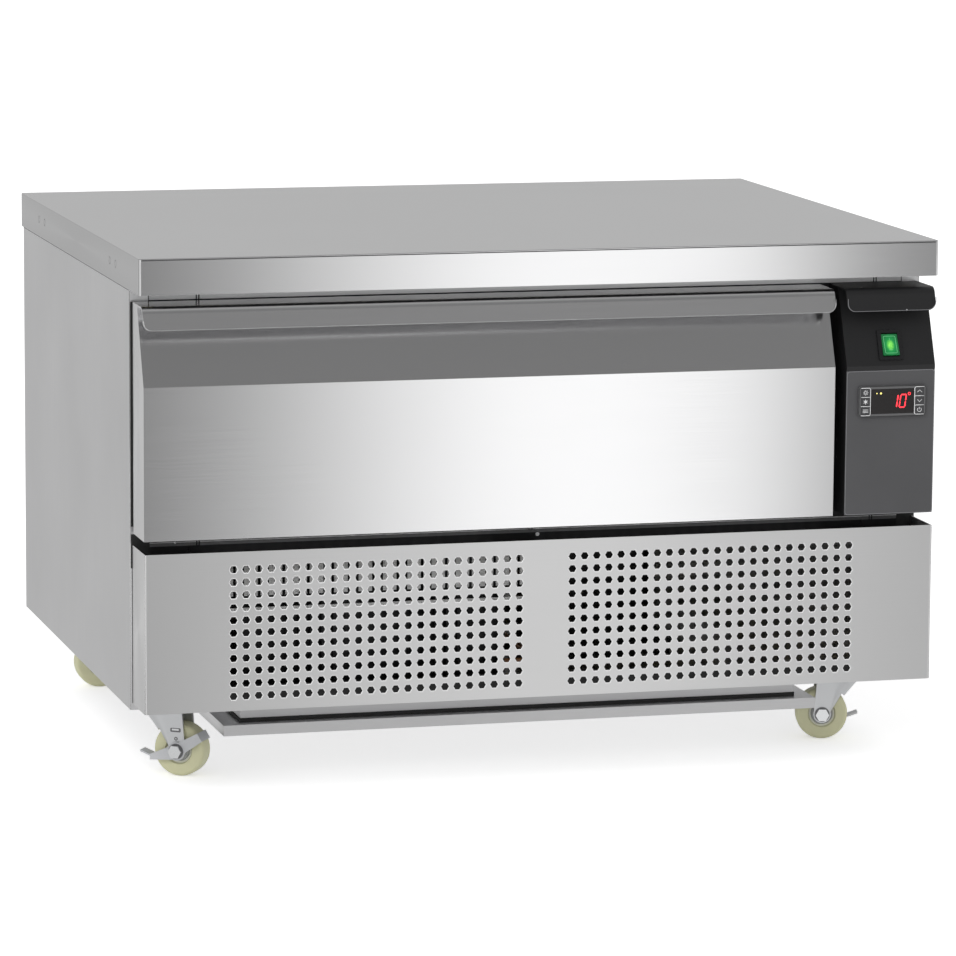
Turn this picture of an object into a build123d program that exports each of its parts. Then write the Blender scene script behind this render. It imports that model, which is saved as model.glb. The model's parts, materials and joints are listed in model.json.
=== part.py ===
"""Refrigerated drawer counter on castors: one drawer for food pans, control column on the right, vented machine
compartment below. Millimetres, +Z up, front towards -Y, origin on the floor at the middle of the overall box."""

import os
from math import atan2, cos, degrees, hypot, radians, sin, tan

from build123d import *

os.makedirs("parts", exist_ok=True)

# Overall sizes
WIDTH = 870.0  # worktop, left to right
WORKTOP_DEPTH = 680.0
HEIGHT = 567.0  # floor to the top of the worktop
FRONT_PROUD = 7.0  # drawer front, column and grille ahead of the worktop's edge

# Sheets and clearances
SHEET = 1.2  # outer stainless sheet
TOP_SHEET = 1.5  # worktop sheet
LINER_SHEET = 1.0
GAP = 0.3  # between faces that move past each other
RUNNING = 0.05  # radial clearance of a shaft in its bore

# Worktop
EDGE_HEIGHT = 38.0
EDGE_RETURN = 12.0
EDGE_RADIUS = 2.5
TOP_RADIUS = 1.0

# Cabinet shell
CABINET_SETBACK = 56.0  # worktop's front edge to the cabinet's front face
BACK_INSET = 9.0
SIDE_INSET = 1.0
PANEL_GAP = 0.8  # side panels to the underside of the worktop
PANEL_FLANGE = 20.0
FRAME_DEPTH = 10.0
FRAME_OVERLAP = 20.0  # front frame below the top of the grille
NOTCH_WIDTH = 3.0
NOTCH_DEPTH = 2.0
NOTCH_HEIGHT = 12.0
NOTCH_X = 372.0

# Cold cell
WALL = 30.0  # outer face of the side panel to the inside of the cell
BACK_WALL = 41.0
FLOOR_RISE = 23.0  # drawer front's lower edge to the floor of the cell
ROOF_WALL = 34.0  # worktop's underside to the roof of the cell
FLOOR_WALL = 36.0
FRONT_WALL = 30.0  # foam in front of the evaporator

# Drawer front and control column
TOP_GAP = 12.0  # worktop's underside to the top of the drawer front
FACE_SIDE_INSET = 3.3
FACE_DEPTH = 55.0
INCLINE_HEIGHT = 82.5
INCLINE_DEPTH = 33.0
LIP_DROP = 24.0
LIP_SHEET = 1.5
LIP_BEND = 9.0
LIP_LEAN = 7.0  # lower edge of the lip ahead of where its face would meet the top
LIP_CORNER = 9.0
COLUMN_GAP = 13.0
COLUMN_WIDTH = 99.7
COLUMN_SIDE_INSET = 4.0
COLUMN_WALL = 2.0
GASKET_WIDTH = 16.0
GASKET_OVERLAP = 2.0
PLUG_DEPTH = 18.0
PLUG_CLEAR = 5.0

# Controls
FASCIA_THICK = 1.5
FASCIA_CORNER = 3.0
FASCIA_DROP = 5.0  # fold of the column to the top of the fascia
CONTROLLER_WIDTH = 76.0
CONTROLLER_HEIGHT = 33.0
CONTROLLER_PROUD = 3.0
CONTROLLER_BODY_WIDTH = 71.0
CONTROLLER_BODY_HEIGHT = 29.0
CONTROLLER_BODY_DEPTH = 45.0
CONTROLLER_DROP = 38.0  # fold of the column to the middle of the controller
DISPLAY_WIDTH = 49.0
DISPLAY_HEIGHT = 27.0
DISPLAY_THICK = 1.0
KEY_WIDTH = 10.4
KEY_HEIGHT = 9.2
KEY_PITCH = 9.9
KEY_PROUD = 0.8
KEY_DEPTH = 2.0
KEY_TRAVEL = 0.6
ROCKER_BEZEL_WIDTH = 27.0
ROCKER_BEZEL_HEIGHT = 33.0
ROCKER_BEZEL_PROUD = 2.0
ROCKER_BODY_WIDTH = 22.0
ROCKER_BODY_HEIGHT = 28.0
ROCKER_BODY_DEPTH = 22.0
ROCKER_WIDTH = 18.0
ROCKER_HEIGHT = 24.0
ROCKER_TILT = 8.0
ROCKER_END_GAP = 1.0  # ends of the rocker to its pocket, over the whole travel
ROCKER_RISE = 22.5  # fold of the column to the middle of the switch, up the slope
ROCKER_OFFSET_X = 0.8  # switch to the right of the column's middle

# Grille
GRILLE_GAP = 7.0  # cabinet's lower edge to the grille's lower edge
GRILLE_HEIGHT = 168.0
GRILLE_SIDE_INSET = 3.5
GRILLE_FLANGE = 12.0
FRONT_GAP = 14.0  # grille's upper edge to the drawer front
HOLE_ACROSS = 8.6
HOLE_SIDES = 6
HOLE_PITCH = 13.4
HOLE_COLUMNS = 24
HOLE_ROWS = 11
HOLE_STEP = 2  # every second hole is cut, which keeps the sheet light; 1 cuts them all
HOLE_FIELD_GAP = 58.0
HOLE_DROP = 1.5  # middle of the holes below the middle of the grille

# Base
CHASSIS_SHEET = 2.0
CHASSIS_LIP = 20.0
WELL_WIDTH = 618.0
WELL_FRONT = 88.0  # from the worktop's front edge
WELL_BACK = 94.0  # from the back
WELL_DEPTH = 25.5
WELL_SHEET = 1.5
COVER_WIDTH = 660.0
COVER_OVERHANG = 14.0
COVER_LIP = 11.5

# Castors
CASTOR_HEIGHT = 85.0
CASTOR_SIDE = 42.0  # side of the worktop to the swivel axis
CASTOR_FRONT = 135.0  # front of the worktop to the swivel axis
CASTOR_BACK = 70.0
CASTOR_TRAIL = 33.0
PLATE_LENGTH = 62.0
PLATE_WIDTH = 54.0
PLATE_THICK = 3.0
PLATE_CORNER = 5.0
PLATE_BOLT_X = 48.0
PLATE_BOLT_Y = 40.0
KINGPIN_RADIUS = 5.0
FORK_HEAD_RADIUS = 23.0
FORK_HEAD_HEIGHT = 8.0
FORK_GAP = 27.0
FORK_SHEET = 2.5
FORK_END_RADIUS = 9.5
FORK_NOSE = 17.0  # closed end of the fork ahead of the swivel axis
FORK_HEEL = 5.0  # open end of the fork behind the axle
FORK_FLAT = 15.0  # start of the flat part of the legs, behind the swivel axis
WHEEL_ROOM = 3.0  # round the wheel where the nose is cut away
WHEEL_RADIUS = 28.5
WHEEL_WIDTH = 23.0
WHEEL_HUB_RADIUS = 12.5
WHEEL_HUB_WIDTH = 26.0
WHEEL_RECESS = 3.0
WHEEL_RIM_RADIUS = 23.5
WHEEL_ROUND = 4.0
AXLE_RADIUS = 4.0
BOLT_FLATS = 13.0
BOLT_HEAD = 5.0
BRAKE_SHEET = 2.5
BRAKE_RING = 10.0
BRAKE_ARM = 30.0
PEDAL_LENGTH = 11.0
PEDAL_WIDTH = 14.0
PEDAL_DROP = 8.0  # axle to the middle of the pedal's root
SHOE_WIDTH = 22.0
SHOE_ANGLE = 32.0

# Drawer running gear
SLIDE_LENGTH = 550.0
SLIDE_HEIGHT = 46.0
SLIDE_WIDTH = 12.7
SLIDE_SHEET = 1.2
SLIDE_TOP_GAP = 8.0  # roof of the cell to the top of the slides
PAN_LEDGE = 10.0
PAN_BAR = 12.0
PAN_FRAME_HEIGHT = 38.0
PAN_FRAME_SHEET = 1.5
PAN_FRAME_LENGTH = 543.0

# Cooling
CONDENSER_WIDTH = 290.0
CONDENSER_CLEAR = 20.0  # top of the condenser to the foam above it
CONDENSER_DEPTH = 34.0
CONDENSER_X = -160.0
CONDENSER_FRONT = 100.0  # from the front of the worktop
CONDENSER_FINS = 24
FIN_THICK = 3.0
FAN_RADIUS = 76.0
FAN_CLEAR = 3.0
FAN_DEPTH = 22.0
SHROUD_DEPTH = 30.0
MOTOR_RADIUS = 24.0
MOTOR_LENGTH = 42.0
COMPRESSOR_X = 165.0
COMPRESSOR_Y = 70.0
COMPRESSOR_RADIUS = 68.0
COMPRESSOR_HEIGHT = 158.0
COMPRESSOR_MOUNT = 14.0
MOUNT_RADIUS = 9.0
MOUNT_SPACING_X = 150.0
MOUNT_SPACING_Y = 110.0
PIPE_RADIUS = 4.0
EVAPORATOR_LENGTH = 420.0
EVAPORATOR_CLEAR = 28.0  # top of the evaporator to the roof of the cell
EVAPORATOR_THICK = 36.0
EVAPORATOR_FINS = 20
EVAPORATOR_FAN_RADIUS = 52.0
EVAPORATOR_FAN_DEPTH = 16.0
EVAPORATOR_MOTOR_RADIUS = 18.0
EVAPORATOR_MOTOR_LENGTH = 30.0
LOUVRE_LENGTH = 150.0
LOUVRE_HEIGHT = 5.0
LOUVRE_PITCH = 14.0
LOUVRE_COUNT = 7
LOUVRE_X = 190.0
GLAND_RADIUS = 11.0
GLAND_HOLE = 8.0
GLAND_BORE = 4.5
GLAND_PROUD = 7.5
GLAND_INSIDE = 12.0
GLAND_SIDE = 104.0  # side panel to the gland

# Places worked out from the sizes above
FRONT = -(WORKTOP_DEPTH + FRONT_PROUD) / 2
BACK = -FRONT
WORKTOP_FRONT = FRONT + FRONT_PROUD
UNDERSIDE = HEIGHT - EDGE_HEIGHT
CABINET_FRONT = WORKTOP_FRONT + CABINET_SETBACK
CABINET_BACK = BACK - BACK_INSET
SIDE = WIDTH / 2 - SIDE_INSET
PANEL_TOP = UNDERSIDE - PANEL_GAP
GRILLE_BOTTOM = CASTOR_HEIGHT + GRILLE_GAP
GRILLE_TOP = GRILLE_BOTTOM + GRILLE_HEIGHT
FRAME_BOTTOM = GRILLE_TOP - FRAME_OVERLAP
FACE_BOTTOM = GRILLE_TOP + FRONT_GAP
FACE_TOP = UNDERSIDE - TOP_GAP
FOLD = FACE_TOP - INCLINE_HEIGHT
FACE_LEFT = -WIDTH / 2 + FACE_SIDE_INSET
COLUMN_RIGHT = WIDTH / 2 - COLUMN_SIDE_INSET
COLUMN_LEFT = COLUMN_RIGHT - COLUMN_WIDTH
FACE_RIGHT = COLUMN_LEFT - COLUMN_GAP
COLUMN_X = (COLUMN_LEFT + COLUMN_RIGHT) / 2
INCLINE_ANGLE = degrees(atan2(INCLINE_DEPTH, INCLINE_HEIGHT))
CELL_LEFT = -SIDE + WALL
CELL_RIGHT = SIDE - WALL
CELL_BACK = CABINET_BACK - BACK_WALL
CELL_FLOOR = FACE_BOTTOM + FLOOR_RISE
CELL_TOP = UNDERSIDE - ROOF_WALL
CELL_FRONT = CABINET_FRONT + FRAME_DEPTH
DRAWER_WALL = FACE_RIGHT - GASKET_WIDTH - 10.0  # right side of the drawer's space
EVAPORATOR_FRONT = CELL_FRONT + FRONT_WALL
WELL_FLOOR = CASTOR_HEIGHT - WELL_DEPTH
WELL_INSIDE = WELL_FLOOR + WELL_SHEET
SLIDE_Z = CELL_TOP - SLIDE_TOP_GAP - SLIDE_HEIGHT / 2
WHEEL_AXLE_Y = FORK_GAP / 2 + FORK_SHEET
CONDENSER_HEIGHT = CELL_FLOOR - FLOOR_WALL - CONDENSER_CLEAR - WELL_INSIDE
EVAPORATOR_HEIGHT = CELL_TOP - CELL_FLOOR - EVAPORATOR_CLEAR
GLAND_X = SIDE - GLAND_SIDE


def save(builder, name):
    """Labels a finished piece and writes it."""
    builder.part.label = name
    export_step(builder.part, "parts/" + name + ".step")


def block(x0, x1, y0, y1, z0, z1, mode=Mode.ADD):
    """A box between two corners, in the part that is being made."""
    with BuildSketch(Plane.XY.offset(z0), mode=Mode.PRIVATE) as outline:
        with Locations(((x0 + x1) / 2, (y0 + y1) / 2)):
            Rectangle(x1 - x0, y1 - y0)
    extrude(outline.sketch, amount=z1 - z0, mode=mode)


# Worktop: one sheet, edges turned down and back under
with BuildPart() as worktop:
    block(-WIDTH / 2, WIDTH / 2, WORKTOP_FRONT, BACK, UNDERSIDE, HEIGHT)
    fillet(worktop.edges().filter_by(Axis.Z), EDGE_RADIUS)
    fillet(worktop.faces().sort_by(Axis.Z)[-1].edges(), TOP_RADIUS)
    block(
        -WIDTH / 2 + TOP_SHEET, WIDTH / 2 - TOP_SHEET,
        WORKTOP_FRONT + TOP_SHEET, BACK - TOP_SHEET,
        UNDERSIDE + TOP_SHEET, HEIGHT - TOP_SHEET, Mode.SUBTRACT,
    )
    block(
        -WIDTH / 2 + EDGE_RETURN, WIDTH / 2 - EDGE_RETURN,
        WORKTOP_FRONT + EDGE_RETURN, BACK - EDGE_RETURN,
        UNDERSIDE, UNDERSIDE + TOP_SHEET, Mode.SUBTRACT,
    )
save(worktop, "worktop")


# Side panels: flat sheets with flanges at the front, back and bottom
def side_panel(hand):
    outer = hand * SIDE
    inner = hand * (SIDE - SHEET)
    flange = hand * (SIDE - PANEL_FLANGE)
    x0, x1 = sorted((outer, inner))
    f0, f1 = sorted((outer, flange))
    with BuildPart() as panel:
        block(x0, x1, CABINET_FRONT, CABINET_BACK, CASTOR_HEIGHT, PANEL_TOP)
        block(f0, f1, CABINET_FRONT, CABINET_FRONT + SHEET, CASTOR_HEIGHT, PANEL_TOP)
        block(f0, f1, CABINET_BACK - SHEET, CABINET_BACK, CASTOR_HEIGHT, PANEL_TOP)
        block(f0, f1, CABINET_FRONT, CABINET_BACK, CASTOR_HEIGHT, CASTOR_HEIGHT + SHEET)
    return panel


for hand, word in ((-1, "left"), (1, "right")):
    save(side_panel(hand), "side_panel_" + word)


# Back panel: sheet between the side panels' flanges, louvred behind the machine compartment
PANEL_INSIDE = SIDE - PANEL_FLANGE
with BuildPart() as back_panel:
    block(
        -PANEL_INSIDE, PANEL_INSIDE, CABINET_BACK - SHEET, CABINET_BACK,
        CASTOR_HEIGHT + CHASSIS_SHEET, PANEL_TOP,
    )
    louvre_z = (CASTOR_HEIGHT + CELL_FLOOR - FLOOR_WALL) / 2
    with BuildSketch(Plane.XZ.offset(-CABINET_BACK)) as louvres:
        with Locations((-LOUVRE_X, louvre_z), (LOUVRE_X, louvre_z)):
            with GridLocations(1, LOUVRE_PITCH, 1, LOUVRE_COUNT):
                Rectangle(LOUVRE_LENGTH, LOUVRE_HEIGHT)
        with Locations((GLAND_X, louvre_z)):
            Circle(GLAND_HOLE)
    extrude(amount=SHEET, mode=Mode.SUBTRACT)
save(back_panel, "back_panel")


# Front frame: ring round the drawer's opening, notched at its ends
with BuildPart() as front_frame:
    block(-PANEL_INSIDE, PANEL_INSIDE, CABINET_FRONT, CELL_FRONT, FRAME_BOTTOM, PANEL_TOP)
    block(
        CELL_LEFT, DRAWER_WALL, CABINET_FRONT, CELL_FRONT,
        CELL_FLOOR, CELL_TOP, Mode.SUBTRACT,
    )
    for notch_x in (-NOTCH_X, NOTCH_X):
        for notch_z in (PANEL_TOP - NOTCH_HEIGHT, FRAME_BOTTOM + NOTCH_HEIGHT):
            block(
                notch_x - NOTCH_WIDTH / 2, notch_x + NOTCH_WIDTH / 2,
                CABINET_FRONT, CABINET_FRONT + NOTCH_DEPTH,
                notch_z, notch_z + NOTCH_HEIGHT, Mode.SUBTRACT,
            )
save(front_frame, "front_frame")


# Cold cell: foam round a liner with a side chamber for the evaporator
def cell_space(grow, mode):
    """The drawer's space and the evaporator's chamber, grown on all closed sides."""
    block(
        CELL_LEFT - grow, DRAWER_WALL + grow, CELL_FRONT, CELL_BACK + grow,
        CELL_FLOOR - grow, CELL_TOP + grow, mode,
    )
    block(
        DRAWER_WALL - grow, CELL_RIGHT + grow, EVAPORATOR_FRONT - grow, CELL_BACK + grow,
        CELL_FLOOR - grow, CELL_TOP + grow, mode,
    )


with BuildPart() as insulation:
    block(
        -SIDE + SHEET, SIDE - SHEET, CELL_FRONT, CABINET_BACK - SHEET,
        CELL_FLOOR - FLOOR_WALL, PANEL_TOP,
    )
    block(
        -WIDTH / 2 + EDGE_RETURN, WIDTH / 2 - EDGE_RETURN, CABINET_FRONT,
        BACK - EDGE_RETURN, PANEL_TOP, HEIGHT - TOP_SHEET,
    )
    cell_space(LINER_SHEET, Mode.SUBTRACT)
save(insulation, "insulation")

with BuildPart() as inner_liner:
    cell_space(LINER_SHEET, Mode.ADD)
    cell_space(0, Mode.SUBTRACT)
save(inner_liner, "inner_liner")

# Evaporator cover: wall between the drawer's space and the evaporator, with the fan's ring and return slots
EVAPORATOR_FAN_Z = CELL_FLOOR + 78.0
RETURN_SLOT = 70.0
RETURN_PITCH = 12.0
RETURN_ROWS = 6
with BuildPart() as evaporator_cover:
    block(
        DRAWER_WALL, DRAWER_WALL + SHEET, EVAPORATOR_FRONT, CELL_BACK, CELL_FLOOR, CELL_TOP,
    )
    with BuildSketch(Plane.YZ.offset(DRAWER_WALL)) as openings:
        with Locations((0, EVAPORATOR_FAN_Z)):
            Circle(EVAPORATOR_FAN_RADIUS + FAN_CLEAR)
        for slot_y in (-EVAPORATOR_LENGTH / 2 + RETURN_SLOT, EVAPORATOR_LENGTH / 2 - RETURN_SLOT):
            with Locations((slot_y, EVAPORATOR_FAN_Z)):
                with GridLocations(1, RETURN_PITCH, 1, RETURN_ROWS):
                    Rectangle(RETURN_SLOT, RETURN_PITCH / 2)
    extrude(amount=SHEET, mode=Mode.SUBTRACT)
save(evaporator_cover, "evaporator_cover")


# Finned coils: evenly spaced fins on a core that stands for the rows of tube
CORE_SHARE = 0.5  # of the coil's depth


def finned_coil(middle, length, depth, height, fins):
    """A coil standing on the middle's plane, its length along that plane's x."""
    pitch = (length - FIN_THICK) / (fins - 1)
    with BuildPart() as coil:
        with BuildSketch(middle):
            with GridLocations(pitch, 1, fins, 1):
                Rectangle(FIN_THICK, depth)
        extrude(amount=height)
        with BuildSketch(middle.offset(FIN_THICK)):
            Rectangle(length, depth * CORE_SHARE)
        extrude(amount=height - 2 * FIN_THICK)
    return coil


EVAPORATOR_X = CELL_RIGHT - 4.0
evaporator_middle = Plane(
    origin=(EVAPORATOR_X - EVAPORATOR_THICK / 2, 0, CELL_FLOOR), x_dir=(0, 1, 0), z_dir=(0, 0, 1)
)
save(
    finned_coil(evaporator_middle, EVAPORATOR_LENGTH, EVAPORATOR_THICK, EVAPORATOR_HEIGHT, EVAPORATOR_FINS),
    "evaporator_coil",
)

CONDENSER_Y = WORKTOP_FRONT + CONDENSER_FRONT
condenser_middle = Plane(origin=(CONDENSER_X, CONDENSER_Y + CONDENSER_DEPTH / 2, WELL_INSIDE))
save(
    finned_coil(condenser_middle, CONDENSER_WIDTH, CONDENSER_DEPTH, CONDENSER_HEIGHT, CONDENSER_FINS),
    "condenser_coil",
)


# Fans: a hub with four pitched blades, turning on the motor's shaft
def fan_blade(axis_plane, radius, depth, shaft_radius):
    """A fan whose axis is the plane's normal and whose middle is the plane's origin."""
    hub_radius = radius * 0.28
    pitch = radians(28)
    with BuildPart() as fan:
        with BuildSketch(axis_plane.offset(-depth / 2)):
            Circle(hub_radius)
        extrude(amount=depth)
        for n in range(4):
            turn = radians(90 * n)
            radial = axis_plane.x_dir * cos(turn) + axis_plane.y_dir * sin(turn)
            along = axis_plane.y_dir * cos(turn) - axis_plane.x_dir * sin(turn)
            normal = axis_plane.z_dir * cos(pitch) + along * sin(pitch)
            middle = axis_plane.origin + radial * ((radius + hub_radius) / 2 - 2)
            blade_plane = Plane(origin=middle, x_dir=radial, z_dir=normal)
            with BuildSketch(blade_plane.offset(-0.75)):
                Trapezoid(depth * 2.4, radius - hub_radius - 2, 78, rotation=90)
            extrude(amount=1.5)
        with BuildSketch(axis_plane.offset(-depth / 2)):
            Circle(shaft_radius + RUNNING)
        extrude(amount=depth, mode=Mode.SUBTRACT)
    return fan


def fan_motor(axis_plane, radius, length, fan_depth, shaft_radius, foot):
    """A motor behind the fan with its shaft through the hub, on an arm that reaches its seat."""
    with BuildPart() as motor:
        with BuildSketch(axis_plane.offset(fan_depth / 2 + FAN_CLEAR)):
            Circle(radius)
        extrude(amount=length)
        with BuildSketch(axis_plane.offset(-fan_depth / 2 - 4)):
            Circle(shaft_radius)
        extrude(amount=fan_depth + FAN_CLEAR + 4)
        with BuildSketch(axis_plane.offset(fan_depth / 2 + FAN_CLEAR + length - 4)):
            with Locations((0, -foot / 2)):
                Rectangle(radius * 1.2, foot)
        extrude(amount=4)
    return motor


SHAFT_RADIUS = 3.0
SHROUD_Y = CONDENSER_Y + CONDENSER_DEPTH
FAN_Y = SHROUD_Y + SHROUD_DEPTH - FAN_DEPTH / 2
FAN_Z = WELL_INSIDE + CONDENSER_HEIGHT / 2
condenser_fan_plane = Plane(origin=(CONDENSER_X, FAN_Y, FAN_Z), x_dir=(1, 0, 0), z_dir=(0, 1, 0))
save(fan_blade(condenser_fan_plane, FAN_RADIUS, FAN_DEPTH, SHAFT_RADIUS), "condenser_fan_blade")
motor_plane = Plane(origin=(CONDENSER_X, FAN_Y, FAN_Z), x_dir=(-1, 0, 0), z_dir=(0, 1, 0))
save(
    fan_motor(motor_plane, MOTOR_RADIUS, MOTOR_LENGTH, FAN_DEPTH, SHAFT_RADIUS, FAN_Z - WELL_INSIDE),
    "condenser_fan_motor",
)

EVAPORATOR_FAN_X = DRAWER_WALL + SHEET + FAN_CLEAR + EVAPORATOR_FAN_DEPTH / 2
evaporator_fan_plane = Plane(
    origin=(EVAPORATOR_FAN_X, 0, EVAPORATOR_FAN_Z), x_dir=(0, 1, 0), z_dir=(1, 0, 0)
)
save(
    fan_blade(evaporator_fan_plane, EVAPORATOR_FAN_RADIUS, EVAPORATOR_FAN_DEPTH, SHAFT_RADIUS),
    "evaporator_fan_blade",
)
save(
    fan_motor(
        evaporator_fan_plane, EVAPORATOR_MOTOR_RADIUS, EVAPORATOR_MOTOR_LENGTH, EVAPORATOR_FAN_DEPTH,
        SHAFT_RADIUS, EVAPORATOR_FAN_Z - CELL_FLOOR,
    ),
    "evaporator_fan_motor",
)

# Fan shroud: box behind the condenser with the fan's ring in its back
with BuildPart() as fan_shroud:
    sx0 = CONDENSER_X - CONDENSER_WIDTH / 2
    sx1 = CONDENSER_X + CONDENSER_WIDTH / 2
    block(sx0, sx1, SHROUD_Y, SHROUD_Y + SHROUD_DEPTH, WELL_INSIDE, WELL_INSIDE + CONDENSER_HEIGHT)
    block(
        sx0 + SHEET, sx1 - SHEET, SHROUD_Y, SHROUD_Y + SHROUD_DEPTH - SHEET,
        WELL_INSIDE + SHEET, WELL_INSIDE + CONDENSER_HEIGHT - SHEET, Mode.SUBTRACT,
    )
    with BuildSketch(Plane.XZ.offset(-SHROUD_Y - SHROUD_DEPTH)):
        with Locations((CONDENSER_X, FAN_Z)):
            Circle(FAN_RADIUS + FAN_CLEAR)
    extrude(amount=SHROUD_DEPTH, mode=Mode.SUBTRACT)
save(fan_shroud, "fan_shroud")

# Compressor: rounded shell with a sloping top and a welded seam, feet plate and pipe stub, on rubber mounts
COMPRESSOR_BASE = WELL_INSIDE + COMPRESSOR_MOUNT
COMPRESSOR_PLATE = 3.0
SHELL_LENGTH = 2 * COMPRESSOR_RADIUS + 16
SHELL_WIDTH = 2 * COMPRESSOR_RADIUS - 12
SHELL_CORNER = 50.0
DOME_HEIGHT = 26.0
DOME_TAPER = 40.0
SEAM_PROUD = 3.0
SEAM_HEIGHT = 5.0
STUB_LENGTH = 14.0
STUB_Z = COMPRESSOR_BASE + COMPRESSOR_HEIGHT * 0.62
with BuildPart() as compressor:
    with BuildSketch(Plane.XY.offset(COMPRESSOR_BASE)):
        with Locations((COMPRESSOR_X, COMPRESSOR_Y)):
            RectangleRounded(MOUNT_SPACING_X + 30, MOUNT_SPACING_Y + 30, 12)
            with GridLocations(MOUNT_SPACING_X, MOUNT_SPACING_Y, 2, 2):
                Circle(MOUNT_RADIUS * 0.6, mode=Mode.SUBTRACT)
    extrude(amount=COMPRESSOR_PLATE)
    with BuildSketch(Plane.XY.offset(COMPRESSOR_BASE)):
        with Locations((COMPRESSOR_X, COMPRESSOR_Y)):
            RectangleRounded(SHELL_LENGTH, SHELL_WIDTH, SHELL_CORNER)
    extrude(amount=COMPRESSOR_HEIGHT - DOME_HEIGHT)
    with BuildSketch(Plane.XY.offset(COMPRESSOR_BASE + COMPRESSOR_HEIGHT - DOME_HEIGHT)):
        with Locations((COMPRESSOR_X, COMPRESSOR_Y)):
            RectangleRounded(SHELL_LENGTH, SHELL_WIDTH, SHELL_CORNER)
    extrude(amount=DOME_HEIGHT, taper=DOME_TAPER)
    with BuildSketch(Plane.XY.offset(COMPRESSOR_BASE + (COMPRESSOR_HEIGHT - SEAM_HEIGHT) / 2)):
        with Locations((COMPRESSOR_X, COMPRESSOR_Y)):
            RectangleRounded(
                SHELL_LENGTH + 2 * SEAM_PROUD, SHELL_WIDTH + 2 * SEAM_PROUD, SHELL_CORNER + SEAM_PROUD
            )
    extrude(amount=SEAM_HEIGHT)
    with BuildSketch(Plane.YZ.offset(COMPRESSOR_X - COMPRESSOR_RADIUS - STUB_LENGTH)):
        with Locations((COMPRESSOR_Y, STUB_Z)):
            Circle(PIPE_RADIUS)
    extrude(amount=STUB_LENGTH + 12)
save(compressor, "compressor")

with BuildPart() as compressor_mounts:
    with BuildSketch(Plane.XY.offset(WELL_INSIDE)):
        with Locations((COMPRESSOR_X, COMPRESSOR_Y)):
            with GridLocations(MOUNT_SPACING_X, MOUNT_SPACING_Y, 2, 2):
                Circle(MOUNT_RADIUS)
    extrude(amount=COMPRESSOR_MOUNT)
save(compressor_mounts, "compressor_mounts")

# Pipes: discharge line from the compressor to the condenser, and liquid line through the drier
PIPE_BEND = 14.0
pipe_x = COMPRESSOR_X - COMPRESSOR_RADIUS - STUB_LENGTH
pipe_mid = (pipe_x + CONDENSER_X + CONDENSER_WIDTH / 2) / 2
pipe_end = CONDENSER_X + CONDENSER_WIDTH / 2
pipe_y = CONDENSER_Y + CONDENSER_DEPTH / 2
LIQUID_Z = WELL_INSIDE + CONDENSER_HEIGHT * 0.25
DRIER_RADIUS = 10.0
DRIER_LENGTH = 60.0
DRIER_Y = 150.0
with BuildPart() as refrigerant_pipes:
    with BuildLine() as discharge:
        FilletPolyline(
            (pipe_x, COMPRESSOR_Y, STUB_Z),
            (pipe_mid + 12, COMPRESSOR_Y, STUB_Z),
            (pipe_mid + 12, pipe_y, STUB_Z),
            (pipe_end, pipe_y, STUB_Z),
            radius=PIPE_BEND,
        )
    with BuildSketch(Plane(origin=discharge.line @ 0, z_dir=discharge.line % 0)):
        Circle(PIPE_RADIUS)
    sweep(path=discharge.line)
    with BuildLine() as liquid:
        FilletPolyline(
            (pipe_end, pipe_y, LIQUID_Z),
            (pipe_mid - 4, pipe_y, LIQUID_Z),
            (pipe_mid - 4, DRIER_Y + DRIER_LENGTH, LIQUID_Z),
            radius=PIPE_BEND,
        )
    with BuildSketch(Plane(origin=liquid.line @ 0, z_dir=liquid.line % 0)):
        Circle(PIPE_RADIUS)
    sweep(path=liquid.line)
    with BuildSketch(Plane.XZ.offset(-DRIER_Y)):
        with Locations((pipe_mid - 4, LIQUID_Z)):
            Circle(DRIER_RADIUS)
    extrude(amount=-DRIER_LENGTH)
save(refrigerant_pipes, "refrigerant_pipes")

# Base chassis: floor between the side panels with a deeper well in the middle
WELL_Y0 = WORKTOP_FRONT + WELL_FRONT
WELL_Y1 = BACK - WELL_BACK
with BuildPart() as base_chassis:
    block(
        -PANEL_INSIDE, PANEL_INSIDE, CABINET_FRONT + SHEET, CABINET_BACK - SHEET,
        CASTOR_HEIGHT, CASTOR_HEIGHT + CHASSIS_SHEET,
    )
    for lip_y in (CABINET_FRONT + SHEET, CABINET_BACK - SHEET - CHASSIS_SHEET):
        block(
            -PANEL_INSIDE, PANEL_INSIDE, lip_y, lip_y + CHASSIS_SHEET,
            CASTOR_HEIGHT, CASTOR_HEIGHT + CHASSIS_LIP,
        )
    block(-WELL_WIDTH / 2, WELL_WIDTH / 2, WELL_Y0, WELL_Y1, WELL_FLOOR, CASTOR_HEIGHT)
    block(
        -WELL_WIDTH / 2 + WELL_SHEET, WELL_WIDTH / 2 - WELL_SHEET,
        WELL_Y0 + WELL_SHEET, WELL_Y1 - WELL_SHEET,
        WELL_INSIDE, CASTOR_HEIGHT + CHASSIS_SHEET, Mode.SUBTRACT,
    )
save(base_chassis, "base_chassis")

# Bottom cover: plate under the well, edges turned down
with BuildPart() as bottom_cover:
    cover_y0 = WELL_Y0 - COVER_OVERHANG
    cover_y1 = WELL_Y1 + COVER_OVERHANG
    block(-COVER_WIDTH / 2, COVER_WIDTH / 2, cover_y0, cover_y1, WELL_FLOOR - COVER_LIP, WELL_FLOOR)
    block(
        -COVER_WIDTH / 2 + SHEET, COVER_WIDTH / 2 - SHEET, cover_y0 + SHEET, cover_y1 - SHEET,
        WELL_FLOOR - COVER_LIP, WELL_FLOOR - SHEET, Mode.SUBTRACT,
    )
save(bottom_cover, "bottom_cover")

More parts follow.
